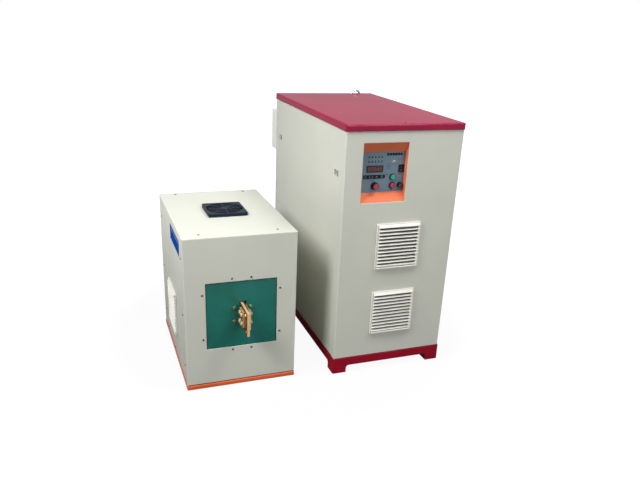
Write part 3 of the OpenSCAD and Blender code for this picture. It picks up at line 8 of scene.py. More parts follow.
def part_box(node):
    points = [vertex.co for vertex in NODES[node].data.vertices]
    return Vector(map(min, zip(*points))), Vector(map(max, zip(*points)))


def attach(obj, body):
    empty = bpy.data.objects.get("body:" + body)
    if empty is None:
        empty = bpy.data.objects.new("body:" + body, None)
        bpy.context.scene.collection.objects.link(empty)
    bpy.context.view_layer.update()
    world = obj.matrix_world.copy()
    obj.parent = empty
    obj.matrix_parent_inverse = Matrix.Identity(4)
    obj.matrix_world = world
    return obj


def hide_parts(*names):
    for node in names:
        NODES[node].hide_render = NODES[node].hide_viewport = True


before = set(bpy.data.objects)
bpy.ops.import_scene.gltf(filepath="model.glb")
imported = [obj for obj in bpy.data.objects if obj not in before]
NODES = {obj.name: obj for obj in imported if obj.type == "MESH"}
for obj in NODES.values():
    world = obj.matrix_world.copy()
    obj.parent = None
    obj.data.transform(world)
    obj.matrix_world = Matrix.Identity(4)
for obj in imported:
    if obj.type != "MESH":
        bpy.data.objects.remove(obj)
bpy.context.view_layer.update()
MM = 0.001
X = Vector((1, 0, 0))
Y = Vector((0, 1, 0))
Z = Vector((0, 0, 1))

# The lid's and the tray base's corners give the two units their places on the floor
lid_low = Vector(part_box("lid")[0])
tray_low, tray_high = (Vector(corner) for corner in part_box("head_base"))
HEAD_W = (tray_high.x - tray_low.x) / MM


def on_cabinet(x, y, z):
    """A point in millimetres from the cabinet's front left corner on the floor, in metres in the frame."""
    return Vector((lid_low.x + x * MM, lid_low.y + y * MM, z * MM))


def on_head(x, y, z):
    """The same from the heating head's front left corner."""
    return Vector((tray_low.x + x * MM, tray_low.y + y * MM, z * MM))


def paint(code):
    """Linear colour from an sRGB hex code."""
    values = [int(code[i:i + 2], 16) / 255 for i in (1, 3, 5)]
    return tuple(v / 12.92 if v <= 0.04045 else ((v + 0.055) / 1.055) ** 2.4 for v in values) + (1.0,)


def add(tree, kind, inputs, **settings):
    """Add a node to a tree. An input is a plain value, the socket that feeds it, or a list of sockets."""
    node = tree.nodes.new(kind)
    for name, value in settings.items():
        setattr(node, name, value)
    for name, value in inputs.items():
        for source in (value if isinstance(value, list) else [value]):
            if isinstance(source, bpy.types.NodeSocket):
                tree.links.new(source, node.inputs[name])
            else:
                node.inputs[name].default_value = source
    return node


# Finishes

# Scale that gives a noise, or a wave with one band, for each millimetre
NOISE_PER_MM = 1000.0
BAND_PER_MM = 1000.0 / 6.28


class Finish:
    """A material being made up: its tree, its shader and the object's own coordinates."""

    def __init__(self, name, roughness, metallic=0.0, coat=0.0, coat_roughness=0.05, specular=0.5):
        self.mat = bpy.data.materials.new(name)
        self.mat.use_nodes = True
        self.tree = self.mat.node_tree
        self.shader = self.tree.nodes["Principled BSDF"]
        for socket, value in (("Roughness", roughness), ("Metallic", metallic), ("Coat Weight", coat),
                              ("Coat Roughness", coat_roughness), ("Specular IOR Level", specular)):
            self.shader.inputs[socket].default_value = value
        self.coords = add(self.tree, "ShaderNodeTexCoord", {}).outputs["Object"]
        self.rounded = None

    def patches(self, size_mm, low, high, out_low=0.0, out_high=1.0, detail=3.0, rough=0.5):
        """Soft blotches size_mm across, spread from out_low to out_high."""
        noise = add(self.tree, "ShaderNodeTexNoise", {
            "Vector": self.coords, "Scale": NOISE_PER_MM / size_mm, "Detail": detail, "Roughness": rough})
        return add(self.tree, "ShaderNodeMapRange", {
            "Value": noise.outputs["Fac"], "From Min": low, "From Max": high,
            "To Min": out_low, "To Max": out_high}).outputs["Result"]

    def round_edges(self, radius_mm):
        """Round the edges for the light, as a real sheet's or moulding's are."""
        bevel = add(self.tree, "ShaderNodeBevel", {"Radius": radius_mm * MM}, samples=6)
        self.rounded = bevel.outputs["Normal"]

    def worn_and_highlit_edges(self, radius_mm, edge_patches):
        """Mask of the rounded edges, broken up by the patches: worn edges on some finishes, a painted
        highlight on others.
        """
        self.round_edges(radius_mm)
        flat = add(self.tree, "ShaderNodeNewGeometry", {})
        turn = add(self.tree, "ShaderNodeVectorMath", {0: self.rounded, 1: flat.outputs["Normal"]},
                   operation="DOT_PRODUCT")
        edge = add(self.tree, "ShaderNodeMapRange", {
            "Value": turn.outputs["Value"], "From Min": 0.97, "From Max": 0.80})
        return add(self.tree, "ShaderNodeMath", {0: edge.outputs["Result"], 1: edge_patches},
                   operation="MULTIPLY").outputs[0]

    def shaded_corners(self, reach_mm):
        """Mask of the inner corners, where shade falls: the colour laid there is painted shade."""
        open_share = add(self.tree, "ShaderNodeAmbientOcclusion", {"Distance": reach_mm * MM}, samples=8)
        return add(self.tree, "ShaderNodeMapRange", {
            "Value": open_share.outputs["AO"], "From Min": 0.90, "From Max": 0.35,
            "To Max": 0.85}).outputs["Result"]

    def lay(self, base, *layers):
        """Lay colours over a base, each through its own mask, and give them to the shader."""
        colour = paint(base)
        for mask, code in layers:
            colour = add(self.tree, "ShaderNodeMix", {0: mask, 6: colour, 7: paint(code)},
                         data_type="RGBA").outputs[2]
        self.tree.links.new(colour, self.shader.inputs["Base Color"])

    def relief(self, height, depth_mm, strength):
        """Raise the rounded surface by a height pattern, depth_mm deep."""
        inputs = {"Height": height, "Distance": depth_mm * MM, "Strength": strength}
        if self.rounded is not None:
            inputs["Normal"] = self.rounded
        bump = add(self.tree, "ShaderNodeBump", inputs)
        self.tree.links.new(bump.outputs["Normal"], self.shader.inputs["Normal"])

    def uneven_roughness(self, mask):
        """Let the surface be duller in some places than in others."""
        self.tree.links.new(mask, self.shader.inputs["Roughness"])


def enamel(name, main, shade, roughness, peel_mm, dust, dust_share, coat=0.0, specular=0.25, edge_mm=1.6,
           edge_wear_and_highlight=None):
    """Sprayed and baked enamel on sheet steel: slow drift of tone, thin dust, dusty worn edges or a painted
    highlight on the edges where an edge colour is given, orange peel.
    """
    f = Finish(name, roughness, coat=coat, coat_roughness=0.08, specular=specular)
    edge_patches = f.patches(9, 0.35, 0.60, 0.15, 0.75, detail=4.0, rough=0.6)
    # Edges take dust where they are worn, or a painted highlight where an edge colour is given
    f.lay(main,
          (f.patches(260, 0.35, 0.65, detail=2.0), shade),
          (f.patches(90, 0.40, 0.75, 0.0, dust_share), dust),
          (f.worn_and_highlit_edges(edge_mm, edge_patches), edge_wear_and_highlight or dust))
    f.uneven_roughness(f.patches(60, 0.3, 0.7, roughness * 0.92, roughness * 1.12))
    peel = add(f.tree, "ShaderNodeTexNoise", {
        "Vector": f.coords, "Scale": NOISE_PER_MM / peel_mm, "Detail": 2.0})
    f.relief(peel.outputs["Fac"], depth_mm=0.02, strength=0.25)
    return f.mat


def moulded(name, main, shade, roughness, grain_mm=0.6, grain_depth_mm=0.03, coat=0.0, specular=0.4,
            edge_wear_and_highlight="#8A8F95", wear_and_highlight_share=0.25, corner_shade=None):
    """Moulded plastic: fine spark-erosion grain, slight tone drift, edges laid paler (worn edges on most
    plastics, a painted highlight on the fan guard's struts), and painted shade in inner corners where a
    corner colour is given.
    """
    f = Finish(name, roughness, coat=coat, specular=specular)
    edge_patches = f.patches(4, 0.40, 0.62, 0.0, wear_and_highlight_share, rough=0.6)
    layers = [(f.patches(30, 0.35, 0.65), shade)]
    # A corner colour, where given, is painted shade in the inner corners
    if corner_shade:
        layers.append((f.shaded_corners(6.0), corner_shade))
    # The edge colour is worn paleness on most plastics and a painted highlight on the fan guard
    f.lay(main, *layers, (f.worn_and_highlit_edges(0.35, edge_patches), edge_wear_and_highlight))
    f.uneven_roughness(f.patches(8, 0.3, 0.7, roughness * 0.85, min(1.0, roughness * 1.15)))
    # The real grain is a tenth of a millimetre or less, and is drawn coarser so that it shows
    grain = add(f.tree, "ShaderNodeTexNoise", {
        "Vector": f.coords, "Scale": NOISE_PER_MM / grain_mm, "Detail": 2.0})
    f.relief(grain.outputs["Fac"], grain_depth_mm, strength=0.35)
    return f.mat


def bare_metal(name, main, shade, roughness, finer=(1, 1, 1), tarnish=None, tarnish_share=0.5, blotch_mm=14,
               metallic=1.0):
    """Bare or plated metal: drawing marks, so many times finer along each axis, and tarnish in blotches."""
    f = Finish(name, roughness, metallic=metallic)
    f.round_edges(0.4)
    # Real drawing marks are finer than a tenth of a millimetre, and are drawn coarser so that they show
    drawn = add(f.tree, "ShaderNodeMapping", {"Vector": f.coords, "Scale": finer})
    marks = add(f.tree, "ShaderNodeTexNoise", {
        "Vector": drawn.outputs["Vector"], "Scale": NOISE_PER_MM / 1.2, "Detail": 2.0})
    mark_mask = add(f.tree, "ShaderNodeMapRange", {
        "Value": marks.outputs["Fac"], "From Min": 0.35, "From Max": 0.65})
    layers = [(mark_mask.outputs["Result"], shade)]
    if tarnish:
        layers.append((f.patches(blotch_mm, 0.48, 0.72, 0.0, tarnish_share, detail=5.0, rough=0.65), tarnish))
    f.lay(main, *layers)
    f.uneven_roughness(f.patches(6, 0.3, 0.7, roughness * 0.8, min(1.0, roughness * 1.3), detail=4.0))
    f.relief(marks.outputs["Fac"], depth_mm=0.015, strength=0.3)
    return f.mat


def fleece_mat(name, fibre, gap, clump):
    """Open polyester fleece: crossed fibres with dust caught in clumps."""
    f = Finish(name, 0.9)
    # The gaps between real fibres are well under a millimetre, and are drawn coarser so that they show
    fibres = add(f.tree, "ShaderNodeTexNoise", {
        "Vector": f.coords, "Scale": NOISE_PER_MM / 1.1, "Detail": 6.0, "Roughness": 0.8})
    fibre_mask = add(f.tree, "ShaderNodeMapRange", {
        "Value": fibres.outputs["Fac"], "From Min": 0.35, "From Max": 0.65})
    f.lay(gap, (fibre_mask.outputs["Result"], fibre), (f.patches(14, 0.4, 0.7, detail=4.0), clump))
    f.relief(fibres.outputs["Fac"], depth_mm=0.6, strength=0.8)
    return f.mat


def laminate(name, main, shade, weave_mm, roughness, coat):
    """Pressed glass-cloth laminate: a faint woven grid under clear resin."""
    f = Finish(name, roughness, coat=coat, coat_roughness=0.06, specular=0.25)
    # Real glass cloth has one or two threads a millimetre, and is drawn a little coarser so that it shows
    warp, weft = (add(f.tree, "ShaderNodeTexWave", {"Vector": f.coords, "Scale": BAND_PER_MM / weave_mm},
                      wave_type="BANDS", bands_direction=axis).outputs["Fac"] for axis in ("X", "Z"))
    weave = add(f.tree, "ShaderNodeMath", {0: warp, 1: weft}, operation="MULTIPLY").outputs[0]
    thread = add(f.tree, "ShaderNodeMapRange", {"Value": weave, "To Max": 0.06})
    f.lay(main, (f.patches(120, 0.35, 0.65, detail=2.0), shade), (thread.outputs["Result"], "#3F8A78"))
    f.uneven_roughness(f.patches(40, 0.3, 0.7, roughness * 0.8, roughness * 1.2, detail=4.0))
    f.relief(weave, depth_mm=0.004, strength=0.15)
    return f.mat


def stacked_core(name, main, shade):
    """Stack of varnished core sheets with their edges just showing."""
    f = Finish(name, 0.5, metallic=0.3)
    # The sheets are half a millimetre thick, and are drawn a little coarser so that they show
    sheets = add(f.tree, "ShaderNodeTexWave", {"Vector": f.coords, "Scale": BAND_PER_MM / 0.7},
                 wave_type="BANDS", bands_direction="Y").outputs["Fac"]
    f.lay(main, (sheets, shade))
    f.relief(sheets, depth_mm=0.05, strength=0.4)
    return f.mat


# Cream enamel sprayed on the sheet panels: a soft sheen, with a pale painted highlight along the folds
cream = enamel("cream_enamel", "#D5D6CA", "#D0D2C6", 0.36, peel_mm=1.8, dust="#BDB9AA", dust_share=0.05,
               specular=0.06, edge_mm=2.4, edge_wear_and_highlight="#F6F7EE")
# Pale enamel on the terminal box: nearly white beside the cream
pale = enamel("pale_enamel", "#F6F6F1", "#F0F0EA", 0.36, peel_mm=1.8, dust="#C4C2B6", dust_share=0.05,
              specular=0.1)
# Crimson gloss enamel on the lid: mirrors the white surroundings when seen flat, deep red from the front,
# with a painted highlight on the rounded edges
crimson = enamel("crimson_gloss_enamel", "#9C1841", "#92123A", 0.16, peel_mm=2.2, dust="#A84860",
                 dust_share=0.02, coat=0.27, specular=0.0, edge_mm=2.0, edge_wear_and_highlight="#C8587A")
# Dark red enamel on the plinth: half dull, with scuffed feet
maroon = enamel("dark_red_enamel", "#A20A2A", "#940824", 0.36, peel_mm=1.6, dust="#9A3048", dust_share=0.03,
                coat=0.02, specular=0.15)
# Orange enamel inside the control recess: dull and warm, with a painted highlight on the rim
orange = enamel("orange_enamel", "#EA835E", "#E27852", 0.42, peel_mm=1.2, dust="#F0B090", dust_share=0.03,
                specular=0.05, edge_mm=1.4, edge_wear_and_highlight="#FFD8C0")
# Orange enamel on the head's tray base: a shade redder
base_orange = enamel("base_orange_enamel", "#E86C3C", "#DE6032", 0.36, peel_mm=1.4, dust="#C08060",
                     dust_share=0.04, coat=0.05)
# Screen-printed blue-grey sheet of the control panel: flat and dull
panel_grey = enamel("panel_blue_grey", "#6E8594", "#687E8C", 0.48, peel_mm=0.8, dust="#93A0AC",
                    dust_share=0.04, edge_mm=0.3)
# Blue enamelled plate on the head's left side: flat and even
plate_blue = enamel("plate_blue_enamel", "#1450AE", "#1248A0", 0.55, peel_mm=1.0, dust="#2A60B0",
                    dust_share=0.05, specular=0.0, edge_mm=0.3)
# Ivory ABS of the louvre covers, moulded: dull, with painted shade in the corners between the blades
ivory = moulded("ivory_abs", "#F4F2EA", "#EEEBE1", 0.42, specular=0.03, edge_wear_and_highlight="#F6F4EC", corner_shade="#5E5D57")
# Black polyamide of fans, switches and glands, moulded: dull with greyed edges
black = moulded("black_polyamide", "#0D1015", "#12151B", 0.42, specular=0.2, edge_wear_and_highlight="#5A5F66")
# Blue-black polyamide of the fan guard, moulded smooth: glossy struts with a painted highlight on their edges
guard_black = moulded("guard_black_polyamide", "#111B29", "#182334", 0.20, coat=0.25, specular=0.0,
                      edge_wear_and_highlight="#8397B0", wear_and_highlight_share=0.8)
# Off-white polyamide of the latch cups, moulded: dull
latch_white = moulded("latch_white_polyamide", "#DAD9CF", "#D2D1C6", 0.45)
# Grey polyamide of the latch slides, moulded: dull
latch_grey = moulded("latch_grey_polyamide", "#8C8E8A", "#7F827F", 0.45)
# Red and green polycarbonate of the push buttons, moulded: clear colour under a little gloss
button_red = moulded("button_red_polycarbonate", "#AE1E38", "#A21932", 0.25, coat=0.15)
button_green = moulded("button_green_polycarbonate", "#2C9C86", "#248E78", 0.28, coat=0.12)
# Smoked acrylic over the digits, cast: near black and smooth
smoked_lens = moulded("smoked_lens_acrylic", "#14090C", "#1A0D10", 0.16, 3.0, 0.005, coat=0.15, specular=0.2)
# Unlit lamp lenses, cast epoxy: near black and smooth
lamp_lens = moulded("unlit_lamp_epoxy", "#141015", "#100C11", 0.2, 3.0, 0.005, coat=0.2, specular=0.2)
# Black polyester foil over the keys, printed on its back: dull and even
foil_black = moulded("membrane_foil", "#0B1018", "#10161F", 0.45, 0.3, 0.01, specular=0.1)
# Shrink sleeve on the capacitor cans: dark and even
can_sleeve = moulded("can_sleeve_pvc", "#2A3440", "#32404E", 0.4)
# Ivory cast resin of the resonant capacitors and the breaker's lever: dull with a coarse grain
cased_ivory = moulded("cast_resin_ivory", "#D8D2BE", "#CFC8B2", 0.5, 1.2, 0.05)
# Brown phenolic sheet between the output plates, sawn: dull
phenolic = moulded("phenolic_sheet", "#4A2C1A", "#3C2314", 0.5, 0.8, 0.04)
# Grey-white ink on the foil and the blue plate, screen printed: flat
white_ink = moulded("white_ink", "#A9B0B8", "#9CA3AC", 0.5, 0.2, 0.005, specular=0.0)
# Dark ink of the panel's ticks and dashes, screen printed: flat
dark_ink = moulded("dark_ink", "#10161F", "#161D28", 0.6, 0.2, 0.005, specular=0.05, edge_wear_and_highlight="#10161F")
# Unlit digit segments: a dim red seen through the lens
segment_red = moulded("unlit_segment", "#A85050", "#95464A", 0.35, 0.3, 0.005)
# Nickel plate on the toggle: bright and smooth
nickel = bare_metal("nickel_plate", "#D6D3CC", "#BEBBB4", 0.16)
# Zinc plate on the inner sheets, rolled: grey with soft blotches and level marks
zinc = bare_metal("zinc_plate", "#B4B6B8", "#9C9FA2", 0.36, finer=(1, 1, 14), tarnish="#7F8384",
                  tarnish_share=0.4, blotch_mm=40)
# Black chrome on the round socket: dark with sharp highlights
black_chrome = bare_metal("black_chrome", "#34363A", "#2A2C30", 0.14)
# Chrome on the lifting eye: a bright mirror
chrome = bare_metal("chrome_plate", "#D9DBDD", "#C6C9CC", 0.09)
# Dark passivated steel of the casing screws: grey with nearly black spots
screw_steel = bare_metal("dark_passivated_steel", "#6A6960", "#504F48", 0.26, tarnish="#2E2D28",
                         tarnish_share=0.6, blotch_mm=3, metallic=0.9)
# Copper of the output plates: bright where it was sawn and milled; the rolled side faces get a darker brown
# copy as painted shade
copper = bare_metal("milled_copper", "#F7D29B", "#E9C088", 0.36, finer=(1, 1, 8), tarnish="#B07C4C",
                    tarnish_share=0.25, blotch_mm=12, metallic=0.4)
shaded_copper = bare_metal("shaded_copper", "#8A5F38", "#6E4829", 0.38, finer=(1, 1, 8), tarnish="#3E2718",
                            metallic=0.6)
# Turned yellow brass of bolts and nipples: pale gold with light spots
brass = bare_metal("yellow_brass", "#F6E0B4", "#E8CE9C", 0.28, tarnish="#A88A64", tarnish_share=0.25,
                   blotch_mm=7, metallic=0.5)
# Aged brass of the board's screws: greenish with dark spots; it also darkens the clamp's far nuts as painted
# shade
aged_and_shaded_brass = bare_metal("aged_and_shaded_brass", "#A8AC88", "#80865F", 0.26, tarnish="#3A3C2A", blotch_mm=3,
                        metallic=0.7)
# Machined aluminium of the cooled plate: pale with straight marks
aluminium = bare_metal("machined_aluminium", "#C9CBCD", "#B6B9BB", 0.32, finer=(14, 1, 1))
# Rolled copper of the busbars inside: warm red with brown blotches
busbar_copper = bare_metal("busbar_copper", "#D98F60", "#C47B4E", 0.34, finer=(1, 8, 1), tarnish="#7A4528",
                           blotch_mm=16)
# Polyester fleece of the filter mats: open and quite dull, its grey drawn darker as painted shade behind the
# blades
fleece = fleece_mat("shaded_filter_fleece", fibre="#505254", gap="#3C3E40", clump="#35332F")
# Green glass-epoxy board in the head's window, pressed: even green with a faint grid
green_board = laminate("green_glass_epoxy", "#1A7268", "#14665A", 1.2, 0.26, 0.06)
# Green solder mask on the circuit board: glossy
circuit = laminate("solder_mask_green", "#174E34", "#1C5A3C", 0.8, 0.3, 0.5)
# Varnished core steel of the choke and the transformer: dark brown with fine lines
core_steel = stacked_core("varnished_core_steel", "#2E2C2B", "#4A3A30")

# The finish of each CAD node
FINISH_OF = {
    "plinth": maroon, "floor_pan": zinc, "inner_frames": zinc, "front_panel": cream, "rear_panel": cream,
    "left_side_panel": cream, "right_side_panel": cream, "lid": crimson, "control_bay": orange,
    "control_panel": panel_grey, "power_knob": black, "knob_cap": button_red, "start_button": button_green,
    "stop_button": button_red, "switch_bezels": black, "rocker": black, "toggle_bush": nickel,
    "toggle_lever": nickel, "display_window": smoked_lens, "indicator_leds": lamp_lens,
    "membrane_keypad": foil_black, "control_socket": black_chrome, "control_board": circuit,
    "louvre_covers": ivory, "filter_mats": fleece, "fan_frames": black, "upper_fan_rotor": black,
    "lower_fan_rotor": black, "head_fan_rotor": black, "latch_cups": latch_white,
    "left_front_latch": latch_grey, "left_rear_latch": latch_grey, "right_front_latch": latch_grey,
    "right_rear_latch": latch_grey, "terminal_box": pale, "cable_glands": black, "water_fittings": brass,
    "lifting_eye": chrome, "mounting_plate": zinc, "circuit_breaker": black, "breaker_lever": cased_ivory,
    "heat_sink": aluminium, "power_modules": black, "filter_capacitors": can_sleeve,
    "busbars": busbar_copper, "choke": core_steel, "head_base": base_orange, "head_front_panel": cream,
    "head_left_panel": cream, "head_right_panel": cream, "head_rear_panel": cream,
    "head_top_cover": cream, "insulating_board": green_board, "plate_insulator": phenolic,
    "output_plates": copper, "terminal_bolts": brass, "casing_screws": screw_steel,
    "head_fan_guard": guard_black, "transformer_core": core_steel, "resonant_capacitors": cased_ivory,
}
for name, obj in NODES.items():
    obj.data.materials.clear()
    obj.data.materials.append(FINISH_OF[name])


def second_finish(node, finish, chosen):
    """Give some faces of a CAD node another finish; chosen is asked with each face's normal and middle."""
    mesh = NODES[node].data
    mesh.materials.append(finish)
    for face in mesh.polygons:
        if chosen(face.normal, face.center):
            face.material_index = 1


# Points closer than this are one point, and points within the wider limit lie at one level
SAME_POINT = 1e-6
SAME_LEVEL = 1e-5


def islands(node):
    """The points of each separate solid in a CAD node."""
    bm = bmesh.new()
    bm.from_mesh(NODES[node].data)
    bmesh.ops.remove_doubles(bm, verts=bm.verts, dist=SAME_POINT)
    seen = set()
    found = []
    for start in bm.verts:
        if start in seen:
            continue
        seen.add(start)
        stack, group = [start], []
        while stack:
            vert = stack.pop()
            group.append(vert.co.copy())
            for edge in vert.link_edges:
                other = edge.other_vert(vert)
                if other not in seen:
                    seen.add(other)
                    stack.append(other)
        found.append(group)
    bm.free()
    return found


def corners_of(points):
    """The lowest and the highest corner of the box round some points."""
    low = Vector([min(p[i] for p in points) for i in range(3)])
    high = Vector([max(p[i] for p in points) for i in range(3)])
    return low, high


# Bolts in front of this depth are outside the head, and the thinner ones are the green board's flat screws
OUTSIDE_Y = on_head(0, 10, 0).y
BOARD_SCREW_MAX = 5 * MM
BOARD_SCREWS = []
for group in islands("terminal_bolts"):
    low, high = corners_of(group)
    if high.y - low.y < BOARD_SCREW_MAX and high.y < OUTSIDE_Y:
        BOARD_SCREWS.append((low, high))

# The clamp's nuts stand to the right of this place
NUT_X = on_head(HEAD_W / 2 + 10, 0, 0).x
# A rolled side face of the output plates, painted darker as shade, looks along X at least this squarely
SHADED_SIDE_SHARE = 0.9


def on_aged_screws_and_shaded_nuts(normal, middle):
    """The board's screws, and the nuts on the plates' far side, which get the darker brass as painted shade.
    """
    if middle.y < OUTSIDE_Y and middle.x > NUT_X:
        return True
    return any(all(low[i] - MM < middle[i] < high[i] + MM for i in range(3)) for low, high in BOARD_SCREWS)


def on_shaded_side_face(normal, middle):
    return abs(normal.x) > SHADED_SIDE_SHARE


# The clamp's far nuts take the aged brass as painted shade; the board's screws are aged brass
second_finish("terminal_bolts", aged_and_shaded_brass, on_aged_screws_and_shaded_nuts)
# The plates' side faces take the darker brown copy as painted shade
second_finish("output_plates", shaded_copper, on_shaded_side_face)


# Small pieces on the casings

def new_piece(name, shape, finish, body):
    """Make an object from a mesh whose points are already in place, give it its finish and let it ride."""
    if isinstance(shape, bmesh.types.BMesh):
        mesh = bpy.data.meshes.new(name)
        bmesh.ops.recalc_face_normals(shape, faces=shape.faces)
        shape.to_mesh(mesh)
        shape.free()
    else:
        mesh = shape
    obj = bpy.data.objects.new(name, mesh)
    bpy.context.scene.collection.objects.link(obj)
    if not mesh.materials:
        mesh.materials.append(finish)
    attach(obj, body)
    return obj


def slab(bm, centre, across, up, width, height, thick):
    """A thin block on a face: centre lies on the face, across and up are unit directions along it."""
    out = across.cross(up)
    corners = []
    for rise in (0.0, thick):
        for a, b in ((-1, -1), (1, -1), (1, 1), (-1, 1)):
            place = centre + across * (a * width / 2) + up * (b * height / 2) + out * rise
            corners.append(bm.verts.new(place))
    for ring in ((3, 2, 1, 0), (4, 5, 6, 7), (0, 1, 5, 4), (1, 2, 6, 5), (2, 3, 7, 6), (3, 0, 4, 7)):
        bm.faces.new([corners[i] for i in ring])


def turned_by(angle):
    """Directions across and up on a front face, turned by an angle."""
    return (X * math.cos(angle) + Z * math.sin(angle)), (Z * math.cos(angle) - X * math.sin(angle))


# The recess behind the control panel, which is a small gap wider all round than the panel
panel_low, panel_high = (Vector(corner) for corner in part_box("control_panel"))
PANEL_GAP = 0.3
PANEL_X = (panel_low.x - lid_low.x) / MM - PANEL_GAP
PANEL_Y = (panel_low.y - lid_low.y) / MM
PANEL_Z = panel_low.z / MM - PANEL_GAP
PANEL_W = (panel_high.x - panel_low.x) / MM + 2 * PANEL_GAP
PANEL_H = (panel_high.z - panel_low.z) / MM + 2 * PANEL_GAP

# Middles of the controls, as shares of the panel's width and height
KNOB_SHARES = (0.355, 0.16)
DISPLAY_SHARES = (0.336, 0.585)
ROCKER_SHARES = (0.925, 0.576)
SOCKET_SHARES = (0.922, 0.16)
KEY_ROW_SHARE = 0.388


def on_panel(shares, out_mm):
    """A point at some shares of the panel's width and height, out_mm in front of it."""
    share_x, share_z = shares
    return on_cabinet(PANEL_X + share_x * PANEL_W, PANEL_Y - out_mm, PANEL_Z + share_z * PANEL_H)


# Middle and size of each caption in millimetres: x, z, width, height
LAMP_CAPTIONS = [(89.15 + 10.7 * i, 724.6 - 14 * row, 6.0, 2.0) for i in range(5) for row in (0, 1)]
TOP_BLOCKS = [(152.5 + 8.9 * i, 733.5, 7.4, 7.6) for i in range(6)]
DASHES = [
    (188, 718.5, 9, 0.9), (199, 718.5, 5, 0.9), (199, 671.5, 15, 1.5), (153, 671.5, 11, 1.4),
    (101, 653.5, 4, 1.3), (108, 653.5, 6, 1.3), (198, 623.5, 15, 2.4), (171, 623, 6, 1.6),
    (154.4, 698.6, 10, 0.8), (154.4, 688.8, 10, 0.8),
]


def panel_captions():
    """Caption dashes beside the controls and plain blocks along the panel's top edge."""
    ink = 0.12 * MM
    bm = bmesh.new()
    for x, z, width, height in LAMP_CAPTIONS + TOP_BLOCKS + DASHES:
        slab(bm, on_cabinet(x, PANEL_Y, z), X, Z, width * MM, height * MM, ink)
    new_piece("panel_captions", bm, dark_ink, "machine")


panel_captions()


def tree_with(name, sizes):
    """Start a Geometry Nodes tree with its sizes as named inputs; returns the tree and what it is given."""
    tree = bpy.data.node_groups.new(name, "GeometryNodeTree")
    tree.interface.new_socket("Geometry", in_out="INPUT", socket_type="NodeSocketGeometry")
    for label, value in sizes.items():
        kind = "NodeSocketInt" if isinstance(value, int) else "NodeSocketFloat"
        socket = tree.interface.new_socket(label, in_out="INPUT", socket_type=kind)
        socket.default_value = value
    tree.interface.new_socket("Geometry", in_out="OUTPUT", socket_type="NodeSocketGeometry")
    return tree, add(tree, "NodeGroupInput", {}).outputs


def dressed(tree, geometry, finish):
    """End a tree: its geometry in one finish."""
    dress = add(tree, "GeometryNodeSetMaterial", {"Geometry": geometry, "Material": finish})
    add(tree, "NodeGroupOutput", {"Geometry": dress.outputs["Geometry"]})


def grown(name, tree, base_mesh, sizes, body, finish):
    """Run a tree on a base mesh, keep the result as a plain mesh, and drop the modifier."""
    carrier = bpy.data.objects.new(name + "_carrier", base_mesh)
    bpy.context.scene.collection.objects.link(carrier)
    modifier = carrier.modifiers.new("grow", "NODES")
    modifier.node_group = tree
    for item in tree.interface.items_tree:
        if item.in_out == "INPUT" and item.name in sizes:
            modifier[item.identifier] = sizes[item.name]
    bpy.context.view_layer.update()
    evaluated = carrier.evaluated_get(bpy.context.evaluated_depsgraph_get())
    mesh = bpy.data.meshes.new_from_object(evaluated)
    mesh.name = name
    carrier.modifiers.remove(modifier)
    bpy.data.objects.remove(carrier)
    return new_piece(name, mesh, finish, body)


def seats(points):
    """Base mesh for a tree that stands one thing on each face: a tiny face per point, facing its normal."""
    half = 0.1 * MM
    bm = bmesh.new()
    for place, normal, turn in points:
        # Sideways is square to the normal and to Z, or to Y where the face looks nearly straight up or down
        helper = Z if abs(normal.z) < 0.9 else Y
        side = helper.cross(normal).normalized()
        up = normal.cross(side).normalized()
        side, up = side * math.cos(turn) + up * math.sin(turn), up * math.cos(turn) - side * math.sin(turn)
        bm.faces.new([bm.verts.new(place + side * a * half + up * b * half)
                      for a, b in ((-1, -1), (1, -1), (1, 1), (-1, 1))])
    mesh = bpy.data.meshes.new("seats")
    bm.to_mesh(mesh)
    bm.free()
    return mesh


SCREW_SIZES = {"Head Radius": 3.6 * MM, "Head Height": 2.0 * MM, "Recess Length": 4.2 * MM,
               "Recess Width": 0.9 * MM}


